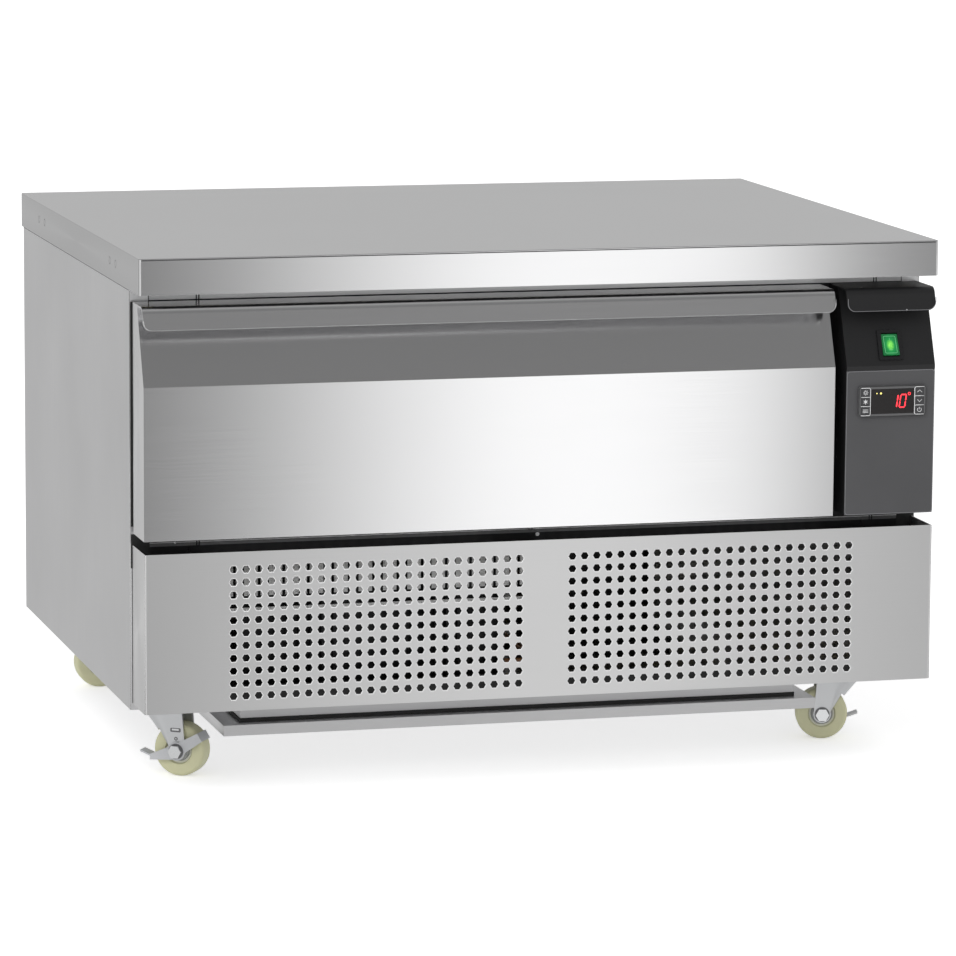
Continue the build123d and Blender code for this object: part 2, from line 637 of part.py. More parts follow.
# Grille panel: folded tray in front of the machine compartment, two fields of holes
GRILLE_SIDE = WIDTH / 2 - GRILLE_SIDE_INSET
HOLE_FIELD = (HOLE_COLUMNS - 1) * HOLE_PITCH
HOLE_FIELD_X = (HOLE_FIELD + HOLE_FIELD_GAP) / 2


def perforated_sheet():
    """The grille's front sheet as one face, every hole a wire of it, lying on the front plane."""
    hole = RegularPolygon(HOLE_ACROSS / 2, HOLE_SIDES).face().outer_wire()
    outline = Rectangle(2 * GRILLE_SIDE, GRILLE_HEIGHT).face().outer_wire()
    holes = []
    grid = GridLocations(HOLE_PITCH, HOLE_PITCH, HOLE_COLUMNS, HOLE_ROWS).local_locations
    for field_x in (-HOLE_FIELD_X, HOLE_FIELD_X):
        for place in grid[::HOLE_STEP]:
            holes.append(hole.moved(Location((field_x, -HOLE_DROP, 0)) * place))
    middle = Plane(origin=(0, FRONT, (GRILLE_BOTTOM + GRILLE_TOP) / 2), z_dir=(0, -1, 0), x_dir=(1, 0, 0))
    return Face(outline, holes).moved(middle.location)


front_sheet = perforated_sheet()
with BuildPart() as grille_panel:
    block(-GRILLE_SIDE, GRILLE_SIDE, FRONT + SHEET, CABINET_FRONT, GRILLE_BOTTOM, GRILLE_TOP)
    block(
        -GRILLE_SIDE + SHEET, GRILLE_SIDE - SHEET, FRONT + SHEET, CABINET_FRONT,
        GRILLE_BOTTOM + SHEET, GRILLE_TOP, Mode.SUBTRACT,
    )
    block(
        -GRILLE_SIDE + SHEET, GRILLE_SIDE - SHEET, FRONT + SHEET + GRILLE_FLANGE, CABINET_FRONT,
        GRILLE_BOTTOM, GRILLE_BOTTOM + SHEET, Mode.SUBTRACT,
    )
    extrude(front_sheet, amount=-SHEET)
save(grille_panel, "grille_panel")


# Front boxes: the section that the drawer front and the control column share
def face_points(inset):
    """Upright face, face leaning back above the fold, flat top; shrunk by inset on every side."""
    slant = hypot(INCLINE_DEPTH, INCLINE_HEIGHT)
    fold_shift = inset * (slant - INCLINE_HEIGHT) / INCLINE_DEPTH
    top_shift = inset * (slant - INCLINE_DEPTH) / INCLINE_HEIGHT
    back = FRONT + FACE_DEPTH - inset
    return (
        (FRONT + inset, FACE_BOTTOM + inset),
        (FRONT + inset, FOLD - fold_shift),
        (FRONT + INCLINE_DEPTH + top_shift, FACE_TOP - inset),
        (back, FACE_TOP - inset),
        (back, FACE_BOTTOM + inset),
    )


def face_prism(left, right, inset, mode=Mode.ADD):
    """That section drawn out between two sides."""
    with BuildSketch(Plane.YZ.offset(left + inset), mode=Mode.PRIVATE) as section:
        with BuildLine():
            Polyline(*face_points(inset), close=True)
        make_face()
    extrude(section.sketch, amount=right - left - 2 * inset, mode=mode)


def front_box(left, right):
    """Sheet folded forward and turned down in front of the face, with rounded lower corners, then the closed box."""
    back = FRONT + INCLINE_DEPTH + LIP_SHEET
    lean = atan2(LIP_LEAN, LIP_DROP)
    outer = ((FRONT, FACE_TOP - LIP_DROP), (FRONT + LIP_LEAN, FACE_TOP), (back, FACE_TOP))
    inner_top = FACE_TOP - LIP_SHEET
    inner_front = FRONT + LIP_SHEET / cos(lean)
    inner = (
        (inner_front, FACE_TOP - LIP_DROP),
        (inner_front + LIP_LEAN - LIP_SHEET * tan(lean), inner_top),
        (back, inner_top),
    )
    with BuildSketch(Plane.YZ.offset(left), mode=Mode.PRIVATE) as lip:
        with BuildLine():
            FilletPolyline(*outer, radius=LIP_BEND)
            Line(outer[2], inner[2])
            FilletPolyline(*inner, radius=LIP_BEND - LIP_SHEET)
            Line(inner[0], outer[0])
        make_face()
    extrude(lip.sketch, amount=right - left)
    low = FACE_TOP - LIP_DROP
    with BuildSketch(Plane.XZ.offset(1 - FRONT), mode=Mode.PRIVATE) as corners:
        for x, inward in ((left, 1), (right, -1)):
            with Locations((x, low)):
                Rectangle(2 * LIP_CORNER, 2 * LIP_CORNER)
            with Locations((x + inward * LIP_CORNER, low + LIP_CORNER)):
                Circle(LIP_CORNER, mode=Mode.SUBTRACT)
    extrude(corners.sketch, amount=-LIP_LEAN - 1, mode=Mode.SUBTRACT)
    face_prism(left, right, 0)


with BuildPart() as drawer_front:
    front_box(FACE_LEFT, FACE_RIGHT)
save(drawer_front, "drawer_front")

# Drawer inner panel: plug on the back of the front that closes the cell's opening
FACE_BACK = FRONT + FACE_DEPTH
PLUG_LEFT = CELL_LEFT + PLUG_CLEAR
PLUG_RIGHT = DRAWER_WALL - PLUG_CLEAR
with BuildPart() as drawer_inner_panel:
    block(
        PLUG_LEFT, PLUG_RIGHT, FACE_BACK, FACE_BACK + PLUG_DEPTH,
        CELL_FLOOR + PLUG_CLEAR, CELL_TOP - PLUG_CLEAR,
    )
save(drawer_inner_panel, "drawer_inner_panel")

# Gasket: ring round the plug that lands on the front frame
with BuildPart() as drawer_gasket:
    inside = (
        CELL_LEFT - GASKET_OVERLAP, DRAWER_WALL + GASKET_OVERLAP,
        CELL_FLOOR - GASKET_OVERLAP, CELL_TOP + GASKET_OVERLAP,
    )
    gx0, gx1, gz0, gz1 = inside
    block(
        gx0 - GASKET_WIDTH, gx1 + GASKET_WIDTH, FACE_BACK, CABINET_FRONT - GAP,
        gz0 - GASKET_WIDTH, gz1 + GASKET_WIDTH,
    )
    block(gx0, gx1, FACE_BACK, CABINET_FRONT - GAP, gz0, gz1, Mode.SUBTRACT)
save(drawer_gasket, "drawer_gasket")

# Pan frame: welded angle frame with a bar between the two pans
PAN_LEFT = CELL_LEFT + SLIDE_WIDTH
PAN_RIGHT = DRAWER_WALL - SLIDE_WIDTH
PAN_FRONT = FACE_BACK + PLUG_DEPTH
PAN_BACK = PAN_FRONT + PAN_FRAME_LENGTH
PAN_Z0 = SLIDE_Z - PAN_FRAME_HEIGHT / 2
PAN_Z1 = SLIDE_Z + PAN_FRAME_HEIGHT / 2
PAN_MIDDLE = (PAN_LEFT + PAN_RIGHT) / 2
with BuildPart() as drawer_frame:
    block(PAN_LEFT, PAN_RIGHT, PAN_FRONT, PAN_BACK, PAN_Z0, PAN_Z1)
    block(
        PAN_LEFT + PAN_FRAME_SHEET, PAN_RIGHT - PAN_FRAME_SHEET,
        PAN_FRONT + PAN_FRAME_SHEET, PAN_BACK - PAN_FRAME_SHEET,
        PAN_Z0, PAN_Z1 - PAN_FRAME_SHEET, Mode.SUBTRACT,
    )
    block(
        PAN_LEFT + PAN_LEDGE, PAN_RIGHT - PAN_LEDGE, PAN_FRONT + PAN_LEDGE, PAN_BACK - PAN_LEDGE,
        PAN_Z1 - PAN_FRAME_SHEET, PAN_Z1, Mode.SUBTRACT,
    )
    block(
        PAN_MIDDLE - PAN_BAR / 2, PAN_MIDDLE + PAN_BAR / 2, PAN_FRONT, PAN_BACK,
        PAN_Z1 - PAN_FRAME_SHEET * 3, PAN_Z1,
    )
save(drawer_frame, "drawer_frame")


# Telescopic slides: three nested channels a side
def slide_member(hand, wall, level):
    """Level 0 is fixed to the wall, 1 runs in it, 2 carries the pan frame with its web turned outwards."""
    step = level * (SLIDE_SHEET + GAP)
    half = SLIDE_HEIGHT / 2 - step
    reach = SLIDE_WIDTH if level == 2 else SLIDE_WIDTH - 1.7
    web = reach - SLIDE_SHEET if level == 2 else step
    y0 = CELL_FRONT + GAP
    y1 = y0 + SLIDE_LENGTH
    with BuildPart() as member:
        for low, high, z0, z1 in (
            (web, web + SLIDE_SHEET, SLIDE_Z - half, SLIDE_Z + half),
            (step, reach, SLIDE_Z - half, SLIDE_Z - half + SLIDE_SHEET),
            (step, reach, SLIDE_Z + half - SLIDE_SHEET, SLIDE_Z + half),
        ):
            x0, x1 = sorted((wall + hand * low, wall + hand * high))
            block(x0, x1, y0, y1, z0, z1)
    return member


for hand, wall, word in ((1, CELL_LEFT, "left"), (-1, DRAWER_WALL, "right")):
    for level, kind in enumerate(("outer", "middle", "inner")):
        save(slide_member(hand, wall, level), "slide_" + kind + "_" + word)

# Control column: hollow housing with openings for the switch and the controller
SWITCH_Z = FOLD + ROCKER_RISE * cos(radians(INCLINE_ANGLE))
SWITCH_Y = FRONT + ROCKER_RISE * sin(radians(INCLINE_ANGLE))
SWITCH_X = COLUMN_X + ROCKER_OFFSET_X
switch_plane = Plane(
    origin=(SWITCH_X, SWITCH_Y, SWITCH_Z), x_dir=(1, 0, 0),
    z_dir=(0, -cos(radians(INCLINE_ANGLE)), sin(radians(INCLINE_ANGLE))),
)
CONTROLLER_Z = FOLD - CONTROLLER_DROP
CONTROLLER_X = COLUMN_X + 1.2
controller_plane = Plane(origin=(CONTROLLER_X, FRONT, CONTROLLER_Z), x_dir=(1, 0, 0), z_dir=(0, -1, 0))
COLUMN_BACK = CABINET_FRONT
with BuildPart() as control_housing:
    front_box(COLUMN_LEFT, COLUMN_RIGHT)
    block(COLUMN_LEFT, COLUMN_RIGHT, FACE_BACK, COLUMN_BACK, FACE_BOTTOM, FACE_TOP)
    face_prism(COLUMN_LEFT, COLUMN_RIGHT, COLUMN_WALL, Mode.SUBTRACT)
    block(
        COLUMN_LEFT + COLUMN_WALL, COLUMN_RIGHT - COLUMN_WALL, FACE_BACK - COLUMN_WALL, COLUMN_BACK,
        FACE_BOTTOM + COLUMN_WALL, FACE_TOP - COLUMN_WALL, Mode.SUBTRACT,
    )
    block(
        COLUMN_LEFT, COLUMN_RIGHT, FRONT, FRONT + FASCIA_THICK,
        FACE_BOTTOM, FOLD - FASCIA_DROP, Mode.SUBTRACT,
    )
    with BuildSketch(switch_plane.offset(5)):
        Rectangle(ROCKER_BODY_WIDTH, ROCKER_BODY_HEIGHT)
    extrude(amount=-15, mode=Mode.SUBTRACT)
    with BuildSketch(controller_plane):
        Rectangle(CONTROLLER_BODY_WIDTH, CONTROLLER_BODY_HEIGHT)
    extrude(amount=-10, mode=Mode.SUBTRACT)
save(control_housing, "control_housing")

# Fascia: grey plate on the column's upright face
FASCIA_Z0 = FACE_BOTTOM
FASCIA_Z1 = FOLD - FASCIA_DROP
with BuildPart() as control_fascia:
    with BuildSketch(Plane.XZ.offset(-FRONT)):
        with Locations((COLUMN_X, (FASCIA_Z0 + FASCIA_Z1) / 2)):
            RectangleRounded(COLUMN_RIGHT - COLUMN_LEFT, FASCIA_Z1 - FASCIA_Z0, FASCIA_CORNER)
        with Locations((CONTROLLER_X, CONTROLLER_Z)):
            Rectangle(CONTROLLER_BODY_WIDTH, CONTROLLER_BODY_HEIGHT, mode=Mode.SUBTRACT)
    extrude(amount=-FASCIA_THICK)
save(control_fascia, "control_fascia")

# Controller: bezel and body, pockets for the window and the six keys
KEY_X = (DISPLAY_WIDTH + KEY_WIDTH) / 2 + 0.8
with BuildPart() as controller_body:
    with BuildSketch(controller_plane):
        RectangleRounded(CONTROLLER_WIDTH, CONTROLLER_HEIGHT, 3)
    extrude(amount=CONTROLLER_PROUD)
    with BuildSketch(controller_plane):
        Rectangle(CONTROLLER_BODY_WIDTH, CONTROLLER_BODY_HEIGHT)
    extrude(amount=-CONTROLLER_BODY_DEPTH)
    with BuildSketch(controller_plane.offset(CONTROLLER_PROUD)):
        Rectangle(DISPLAY_WIDTH, DISPLAY_HEIGHT)
    extrude(amount=-DISPLAY_THICK, mode=Mode.SUBTRACT)
    with BuildSketch(controller_plane.offset(CONTROLLER_PROUD)):
        with GridLocations(2 * KEY_X, KEY_PITCH, 2, 3):
            Rectangle(KEY_WIDTH, KEY_HEIGHT)
    extrude(amount=-KEY_DEPTH - KEY_TRAVEL, mode=Mode.SUBTRACT)
save(controller_body, "controller_body")

with BuildPart() as display_window:
    with BuildSketch(controller_plane.offset(CONTROLLER_PROUD)):
        Rectangle(DISPLAY_WIDTH, DISPLAY_HEIGHT)
    extrude(amount=-DISPLAY_THICK)
save(display_window, "display_window")


# Keys: one in each pocket, from the top down on each side
KEY_CLEAR = 0.2
KEY_NAMES = (
    ("key_light", -1, 1), ("key_defrost", -1, 0), ("key_set", -1, -1),
    ("key_up", 1, 1), ("key_down", 1, 0), ("key_standby", 1, -1),
)
for name, column, row in KEY_NAMES:
    with BuildPart() as key:
        with BuildSketch(controller_plane.offset(CONTROLLER_PROUD + KEY_PROUD)):
            with Locations((column * KEY_X, row * KEY_PITCH)):
                Rectangle(KEY_WIDTH - 2 * KEY_CLEAR, KEY_HEIGHT - 2 * KEY_CLEAR)
        extrude(amount=-KEY_DEPTH - KEY_PROUD)
    save(key, name)

# Rocker switch: bezel with its body behind the panel, and the lens that rocks in it
with BuildPart() as switch_bezel:
    with BuildSketch(switch_plane):
        RectangleRounded(ROCKER_BEZEL_WIDTH, ROCKER_BEZEL_HEIGHT, 1.5)
    extrude(amount=ROCKER_BEZEL_PROUD)
    with BuildSketch(switch_plane):
        Rectangle(ROCKER_BODY_WIDTH, ROCKER_BODY_HEIGHT)
    extrude(amount=-ROCKER_BODY_DEPTH)
    with BuildSketch(switch_plane.offset(ROCKER_BEZEL_PROUD)):
        Rectangle(ROCKER_WIDTH + 2 * GAP, ROCKER_HEIGHT + 2 * ROCKER_END_GAP)
    extrude(amount=-ROCKER_BEZEL_PROUD - 8, mode=Mode.SUBTRACT)
save(switch_bezel, "switch_bezel")

with BuildPart() as power_rocker:
    rise = ROCKER_HEIGHT / 2 * sin(radians(ROCKER_TILT))
    side_plane = Plane(
        origin=switch_plane.from_local_coords((-ROCKER_WIDTH / 2, 0, 0)),
        x_dir=switch_plane.y_dir, z_dir=switch_plane.x_dir,
    )
    with BuildSketch(side_plane):
        with BuildLine():
            Polyline(
                (-ROCKER_HEIGHT / 2, 2 * rise + 0.6),
                (0, rise + 0.6),
                (ROCKER_HEIGHT / 2, 0.6),
                (ROCKER_HEIGHT / 2 - 0.6, -2.4),
                (0, -5.2),
                (-ROCKER_HEIGHT / 2 + 0.6, -1.4),
                close=True,
            )
        make_face()
    extrude(amount=ROCKER_WIDTH)
save(power_rocker, "power_rocker")

# Cable gland in the back panel
with BuildPart() as cable_gland:
    gland_plane = Plane(origin=(GLAND_X, CABINET_BACK, louvre_z), x_dir=(-1, 0, 0), z_dir=(0, 1, 0))
    with BuildSketch(gland_plane):
        RegularPolygon(GLAND_RADIUS, 6)
    extrude(amount=GLAND_PROUD)
    with BuildSketch(gland_plane):
        Circle(GLAND_HOLE - GAP)
    extrude(amount=-GLAND_INSIDE)
    with BuildSketch(gland_plane.offset(GLAND_PROUD)):
        Circle(GLAND_BORE)
    extrude(amount=-GLAND_PROUD - GLAND_INSIDE, mode=Mode.SUBTRACT)
save(cable_gland, "cable_gland")

# Castors: swivel place, direction of the trail from +X, and whether a brake is fitted
FRONT_SWIVEL_Y = WORKTOP_FRONT + CASTOR_FRONT
BACK_SWIVEL_Y = BACK - CASTOR_BACK
SWIVEL_X = WIDTH / 2 - CASTOR_SIDE
CASTORS = (
    ("front_left", -SWIVEL_X, FRONT_SWIVEL_Y, -34.0, True),
    ("front_right", SWIVEL_X, FRONT_SWIVEL_Y, 166.0, True),
    ("rear_left", -SWIVEL_X, BACK_SWIVEL_Y, 0.0, False),
    ("rear_right", SWIVEL_X, BACK_SWIVEL_Y, 70.0, False),
)
PLATE_UNDER = CASTOR_HEIGHT - PLATE_THICK
FORK_TOP = PLATE_UNDER - GAP

with BuildPart() as castor_plates:
    for name, swivel_x, swivel_y, heading, brake in CASTORS:
        with BuildSketch(Plane.XY.offset(CASTOR_HEIGHT)):
            with Locations((swivel_x, swivel_y)):
                RectangleRounded(PLATE_WIDTH, PLATE_LENGTH, PLATE_CORNER)
        extrude(amount=-PLATE_THICK)
        with BuildSketch(Plane.XY.offset(PLATE_UNDER)):
            with Locations((swivel_x, swivel_y)):
                Circle(KINGPIN_RADIUS)
        extrude(amount=-GAP - FORK_HEAD_HEIGHT)
save(castor_plates, "castor_plates")


def side_of(place, y):
    """Upright plane of a castor at a distance from its middle: x along the trail, y up."""
    return Plane(origin=place.from_local_coords((0, y, 0)), x_dir=place.x_dir, z_dir=-place.y_dir)


def fork_section(place, level, nose, flat, heel, half):
    """Section of the fork at a height: flat sides from heel to flat, then half an ellipse to the nose."""
    with BuildSketch(place.offset(level), mode=Mode.PRIVATE) as section:
        with BuildLine():
            Polyline((flat, half), (heel, half), (heel, -half), (flat, -half))
            EllipticalCenterArc((flat, 0), flat - nose, half, 90, arc_size=180)
        make_face()
    return section.sketch


def castor_fork(place):
    """Swivel head over a stamped fork: its sides narrow down to the axle, its closed nose is cut for the wheel."""
    half = WHEEL_AXLE_Y
    web = FORK_TOP - FORK_HEAD_HEIGHT
    low = WHEEL_RADIUS
    heel_top = CASTOR_TRAIL + FORK_HEEL
    heel_low = CASTOR_TRAIL + FORK_END_RADIUS
    flat_low = CASTOR_TRAIL - FORK_END_RADIUS + 2
    nose_low = CASTOR_TRAIL - FORK_END_RADIUS
    deep = 2 * FORK_END_RADIUS
    with BuildPart() as fork:
        loft([
            fork_section(place, low, nose_low, flat_low, heel_low, half),
            fork_section(place, web + FORK_SHEET, -FORK_NOSE, FORK_FLAT, heel_top, half),
        ])
        loft([
            fork_section(place, low, nose_low + FORK_SHEET, flat_low + FORK_SHEET, heel_low + deep, FORK_GAP / 2),
            fork_section(place, web, FORK_SHEET - FORK_NOSE, FORK_FLAT, heel_top + deep, FORK_GAP / 2),
        ], mode=Mode.SUBTRACT)
        with BuildSketch(side_of(place, FORK_GAP / 2)):
            with Locations((CASTOR_TRAIL, WHEEL_RADIUS)):
                Circle(WHEEL_RADIUS + WHEEL_ROOM)
        extrude(amount=FORK_GAP, mode=Mode.SUBTRACT)
        for leg_y in (WHEEL_AXLE_Y, -FORK_GAP / 2):
            with BuildSketch(side_of(place, leg_y)):
                with Locations((CASTOR_TRAIL, WHEEL_RADIUS)):
                    Circle(FORK_END_RADIUS)
            extrude(amount=FORK_SHEET)
        with BuildSketch(place.offset(FORK_TOP)):
            Circle(FORK_HEAD_RADIUS)
        extrude(amount=-FORK_HEAD_HEIGHT)
        with BuildSketch(place.offset(FORK_TOP)):
            Circle(KINGPIN_RADIUS + RUNNING)
        extrude(amount=-FORK_HEAD_HEIGHT, mode=Mode.SUBTRACT)
        with BuildSketch(side_of(place, WHEEL_AXLE_Y)):
            with Locations((CASTOR_TRAIL, WHEEL_RADIUS)):
                Circle(AXLE_RADIUS + RUNNING)
        extrude(amount=2 * WHEEL_AXLE_Y, mode=Mode.SUBTRACT)
    return fork


def castor_wheel(place):
    """Turned wheel: rounded tread, recessed web and hub."""
    half = WHEEL_WIDTH / 2
    hub = WHEEL_HUB_WIDTH / 2
    middle = side_of(place, 0)
    with BuildPart() as wheel:
        spin = Plane(
            origin=middle.from_local_coords((CASTOR_TRAIL, WHEEL_RADIUS, 0)),
            x_dir=place.x_dir, z_dir=place.z_dir,
        )
        with BuildSketch(spin):
            with BuildLine():
                Polyline(
                    (AXLE_RADIUS + RUNNING, -hub),
                    (WHEEL_HUB_RADIUS, -hub),
                    (WHEEL_HUB_RADIUS, -half + WHEEL_RECESS),
                    (WHEEL_RIM_RADIUS, -half),
                    (WHEEL_RADIUS, -half + WHEEL_ROUND),
                    (WHEEL_RADIUS, half - WHEEL_ROUND),
                    (WHEEL_RIM_RADIUS, half),
                    (WHEEL_HUB_RADIUS, half - WHEEL_RECESS),
                    (WHEEL_HUB_RADIUS, hub),
                    (AXLE_RADIUS + RUNNING, hub),
                    close=True,
                )
            make_face()
        revolve(axis=Axis(spin.origin, spin.y_dir))
    return wheel


def axle_bolt(place, brake):
    """Hexagon bolt through the fork, with its nut; longer where the brake lever sits under the head."""
    head_y = -WHEEL_AXLE_Y - (BRAKE_SHEET + 2 * GAP if brake else 0)
    centre = (CASTOR_TRAIL, WHEEL_RADIUS)
    with BuildPart() as bolt:
        with BuildSketch(side_of(place, head_y)):
            with Locations(centre):
                RegularPolygon(BOLT_FLATS / 2, 6, major_radius=False)
        extrude(amount=BOLT_HEAD)
        with BuildSketch(side_of(place, WHEEL_AXLE_Y)):
            with Locations(centre):
                RegularPolygon(BOLT_FLATS / 2, 6, major_radius=False)
        extrude(amount=-BOLT_HEAD)
        with BuildSketch(side_of(place, WHEEL_AXLE_Y)):
            with Locations(centre):
                Circle(AXLE_RADIUS)
        extrude(amount=WHEEL_AXLE_Y - head_y)
    return bolt


def brake_lever(place):
    """Stamped lever on the axle bolt: pedal on one side, shoe over the tread on the other."""
    inner_y = -WHEEL_AXLE_Y - GAP
    centre = (CASTOR_TRAIL, WHEEL_RADIUS)
    shoe_in = WHEEL_RADIUS + 1.0
    shoe_out = shoe_in + BRAKE_SHEET
    ends = (radians(SHOE_ANGLE - 9), radians(SHOE_ANGLE + 9))
    pedal_x = CASTOR_TRAIL - BRAKE_ARM
    pedal_z = WHEEL_RADIUS - PEDAL_DROP
    with BuildPart() as lever:
        with BuildSketch(side_of(place, inner_y)):
            with BuildLine():
                Polyline(
                    (CASTOR_TRAIL, WHEEL_RADIUS + 8),
                    (pedal_x, pedal_z + 3),
                    (pedal_x, pedal_z - 3),
                    (CASTOR_TRAIL, WHEEL_RADIUS - 9),
                    close=True,
                )
            make_face()
            with BuildLine():
                Polyline(
                    (CASTOR_TRAIL, WHEEL_RADIUS + 8),
                    (CASTOR_TRAIL + shoe_out * cos(ends[1]), WHEEL_RADIUS + shoe_out * sin(ends[1])),
                    (CASTOR_TRAIL + shoe_out * cos(ends[0]), WHEEL_RADIUS + shoe_out * sin(ends[0])),
                    (CASTOR_TRAIL, WHEEL_RADIUS - 8),
                    close=True,
                )
            make_face()
            with Locations(centre):
                Circle(BRAKE_RING)
                Circle(AXLE_RADIUS + RUNNING, mode=Mode.SUBTRACT)
        extrude(amount=BRAKE_SHEET)
        with BuildSketch(side_of(place, inner_y)):
            with BuildLine():
                Polyline(
                    *(
                        (CASTOR_TRAIL + r * cos(a), WHEEL_RADIUS + r * sin(a))
                        for r, a in (
                            (shoe_in, ends[0]), (shoe_out, ends[0]), (shoe_out, ends[1]), (shoe_in, ends[1])
                        )
                    ),
                    close=True,
                )
            make_face()
        extrude(amount=-SHOE_WIDTH)
        with BuildSketch(side_of(place, inner_y - BRAKE_SHEET)):
            with BuildLine():
                Polyline(
                    (pedal_x, pedal_z + 3),
                    (pedal_x - PEDAL_LENGTH, pedal_z + 7),
                    (pedal_x - PEDAL_LENGTH, pedal_z + 5),
                    (pedal_x, pedal_z + 1),
                    close=True,
                )
            make_face()
        extrude(amount=-PEDAL_WIDTH)
    return lever


for name, swivel_x, swivel_y, heading, brake in CASTORS:
    place = Plane(
        origin=(swivel_x, swivel_y, 0),
        x_dir=(cos(radians(heading)), sin(radians(heading)), 0), z_dir=(0, 0, 1),
    )
    save(castor_fork(place), "castor_fork_" + name)
    save(castor_wheel(place), "castor_wheel_" + name)
    save(axle_bolt(place, brake), "axle_bolt_" + name)
    if brake:
        save(brake_lever(place), "brake_lever_" + name)

# Screws: castor plates to the chassis, one in the front frame's lower rail, two in the column
with BuildPart() as screws:
    for name, swivel_x, swivel_y, heading, brake in CASTORS:
        with BuildSketch(Plane.XY.offset(PLATE_UNDER)):
            with Locations((swivel_x, swivel_y)):
                with GridLocations(PLATE_BOLT_Y, PLATE_BOLT_X, 2, 2):
                    RegularPolygon(BOLT_HEAD, 6, major_radius=False)
        extrude(amount=-3.5)
    with BuildSketch(Plane.XZ.offset(-CABINET_FRONT)):
        with Locations((0, GRILLE_TOP + 5)):
            RegularPolygon(4, 6)
    extrude(amount=3)
save(screws, "screws")
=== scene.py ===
"""Looks of the refrigerated drawer counter: steel, plastic and nylon finishes, the full perforated grille,
the display, the keys, the wheels and the small marks of the sheet metal.

Metres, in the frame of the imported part."""

import json
from math import cos, pi, radians, sin

import bmesh
import bpy
from mathutils import Matrix, Vector


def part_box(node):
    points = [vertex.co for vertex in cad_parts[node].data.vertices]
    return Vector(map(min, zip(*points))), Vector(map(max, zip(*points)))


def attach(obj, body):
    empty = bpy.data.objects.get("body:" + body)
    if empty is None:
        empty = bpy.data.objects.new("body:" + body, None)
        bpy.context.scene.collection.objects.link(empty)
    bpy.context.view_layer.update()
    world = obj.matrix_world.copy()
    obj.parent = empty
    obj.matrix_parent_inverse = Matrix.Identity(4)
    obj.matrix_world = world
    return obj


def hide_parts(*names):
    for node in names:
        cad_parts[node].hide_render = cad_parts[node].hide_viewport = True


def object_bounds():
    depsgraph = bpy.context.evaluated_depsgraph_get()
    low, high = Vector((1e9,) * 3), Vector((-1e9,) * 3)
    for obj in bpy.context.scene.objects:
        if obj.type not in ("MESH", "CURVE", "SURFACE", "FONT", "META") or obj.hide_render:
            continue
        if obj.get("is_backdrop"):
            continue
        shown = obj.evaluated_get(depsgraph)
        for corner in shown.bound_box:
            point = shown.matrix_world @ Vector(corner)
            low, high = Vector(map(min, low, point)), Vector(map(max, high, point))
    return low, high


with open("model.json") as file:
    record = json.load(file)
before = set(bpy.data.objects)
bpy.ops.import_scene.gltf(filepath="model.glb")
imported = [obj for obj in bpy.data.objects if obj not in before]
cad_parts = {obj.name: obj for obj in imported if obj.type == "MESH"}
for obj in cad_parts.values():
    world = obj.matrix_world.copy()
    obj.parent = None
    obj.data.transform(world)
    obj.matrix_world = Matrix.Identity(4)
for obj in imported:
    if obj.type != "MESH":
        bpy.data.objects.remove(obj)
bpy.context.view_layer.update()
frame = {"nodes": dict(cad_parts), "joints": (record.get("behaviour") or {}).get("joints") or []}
CASTORS = ("front_left", "front_right", "rear_left", "rear_right")
BRAKED_CASTORS = CASTORS[:2]
SIDES = ((-1, "left"), (1, "right"))

# Camera, as the photograph was taken
CAMERA_PLACE = Vector((-1.46654, -5.44927, 1.16910))
CAMERA_AZIMUTH = radians(-15.2434)
CAMERA_ELEVATION = radians(9.0227)
CAMERA_ROLL = radians(0.4072)
CAMERA_LENS = 192.568
CAMERA_SENSOR = 36.0

# Studio
FLOOR_SIZE = 120.0
FLOOR_COLOUR = (0.93, 0.93, 0.93)
FLOOR_ROUGHNESS = 0.9
FLOOR_GLOW = 0.45
WORLD_LEVEL = 0.80
LAMP_POWER = 90.0
LAMP_SIZE = 3.0
LAMP_PLACE = (-2.6, -3.4, 3.6)
LAMP_AIM = (0.0, 0.0, 0.3)


# Meshes
def add_piece(name, form, slot, *finishes, smooth=True, body="cabinet", kinds=None):
    """A mesh object of the form's corners and faces, on a body.

    The kinds say which of the finishes each face has. Without finishes it has the one named like its slot."""
    verts, faces = form
    mesh = bpy.data.meshes.new(name)
    mesh.from_pydata([tuple(v) for v in verts], [], faces)
    for finish in finishes or (slot,):
        mesh.materials.append(FINISHES[finish])
    if kinds:
        for polygon, index in zip(mesh.polygons, kinds):
            polygon.material_index = index
    mesh.validate()
    work = bmesh.new()
    work.from_mesh(mesh)
    bmesh.ops.recalc_face_normals(work, faces=work.faces)
    work.to_mesh(mesh)
    work.free()
    if smooth:
        mesh.shade_smooth()
    piece = bpy.data.objects.new(name, mesh)
    bpy.context.scene.collection.objects.link(piece)
    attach(piece, body)
    return piece


def box_mesh(low, high):
    """Corners and faces of a box."""
    (x0, y0, z0), (x1, y1, z1) = low, high
    verts = [(x, y, z) for z in (z0, z1) for y in (y0, y1) for x in (x0, x1)]
    faces = [(0, 1, 3, 2), (4, 6, 7, 5), (0, 4, 5, 1), (2, 3, 7, 6), (0, 2, 6, 4), (1, 5, 7, 3)]
    return verts, faces


def joined(parts):
    """Several meshes as one list of corners and faces."""
    verts = []
    faces = []
    for part_verts, part_faces in parts:
        start = len(verts)
        verts.extend(part_verts)
        faces.extend(tuple(i + start for i in face) for face in part_faces)
    return verts, faces


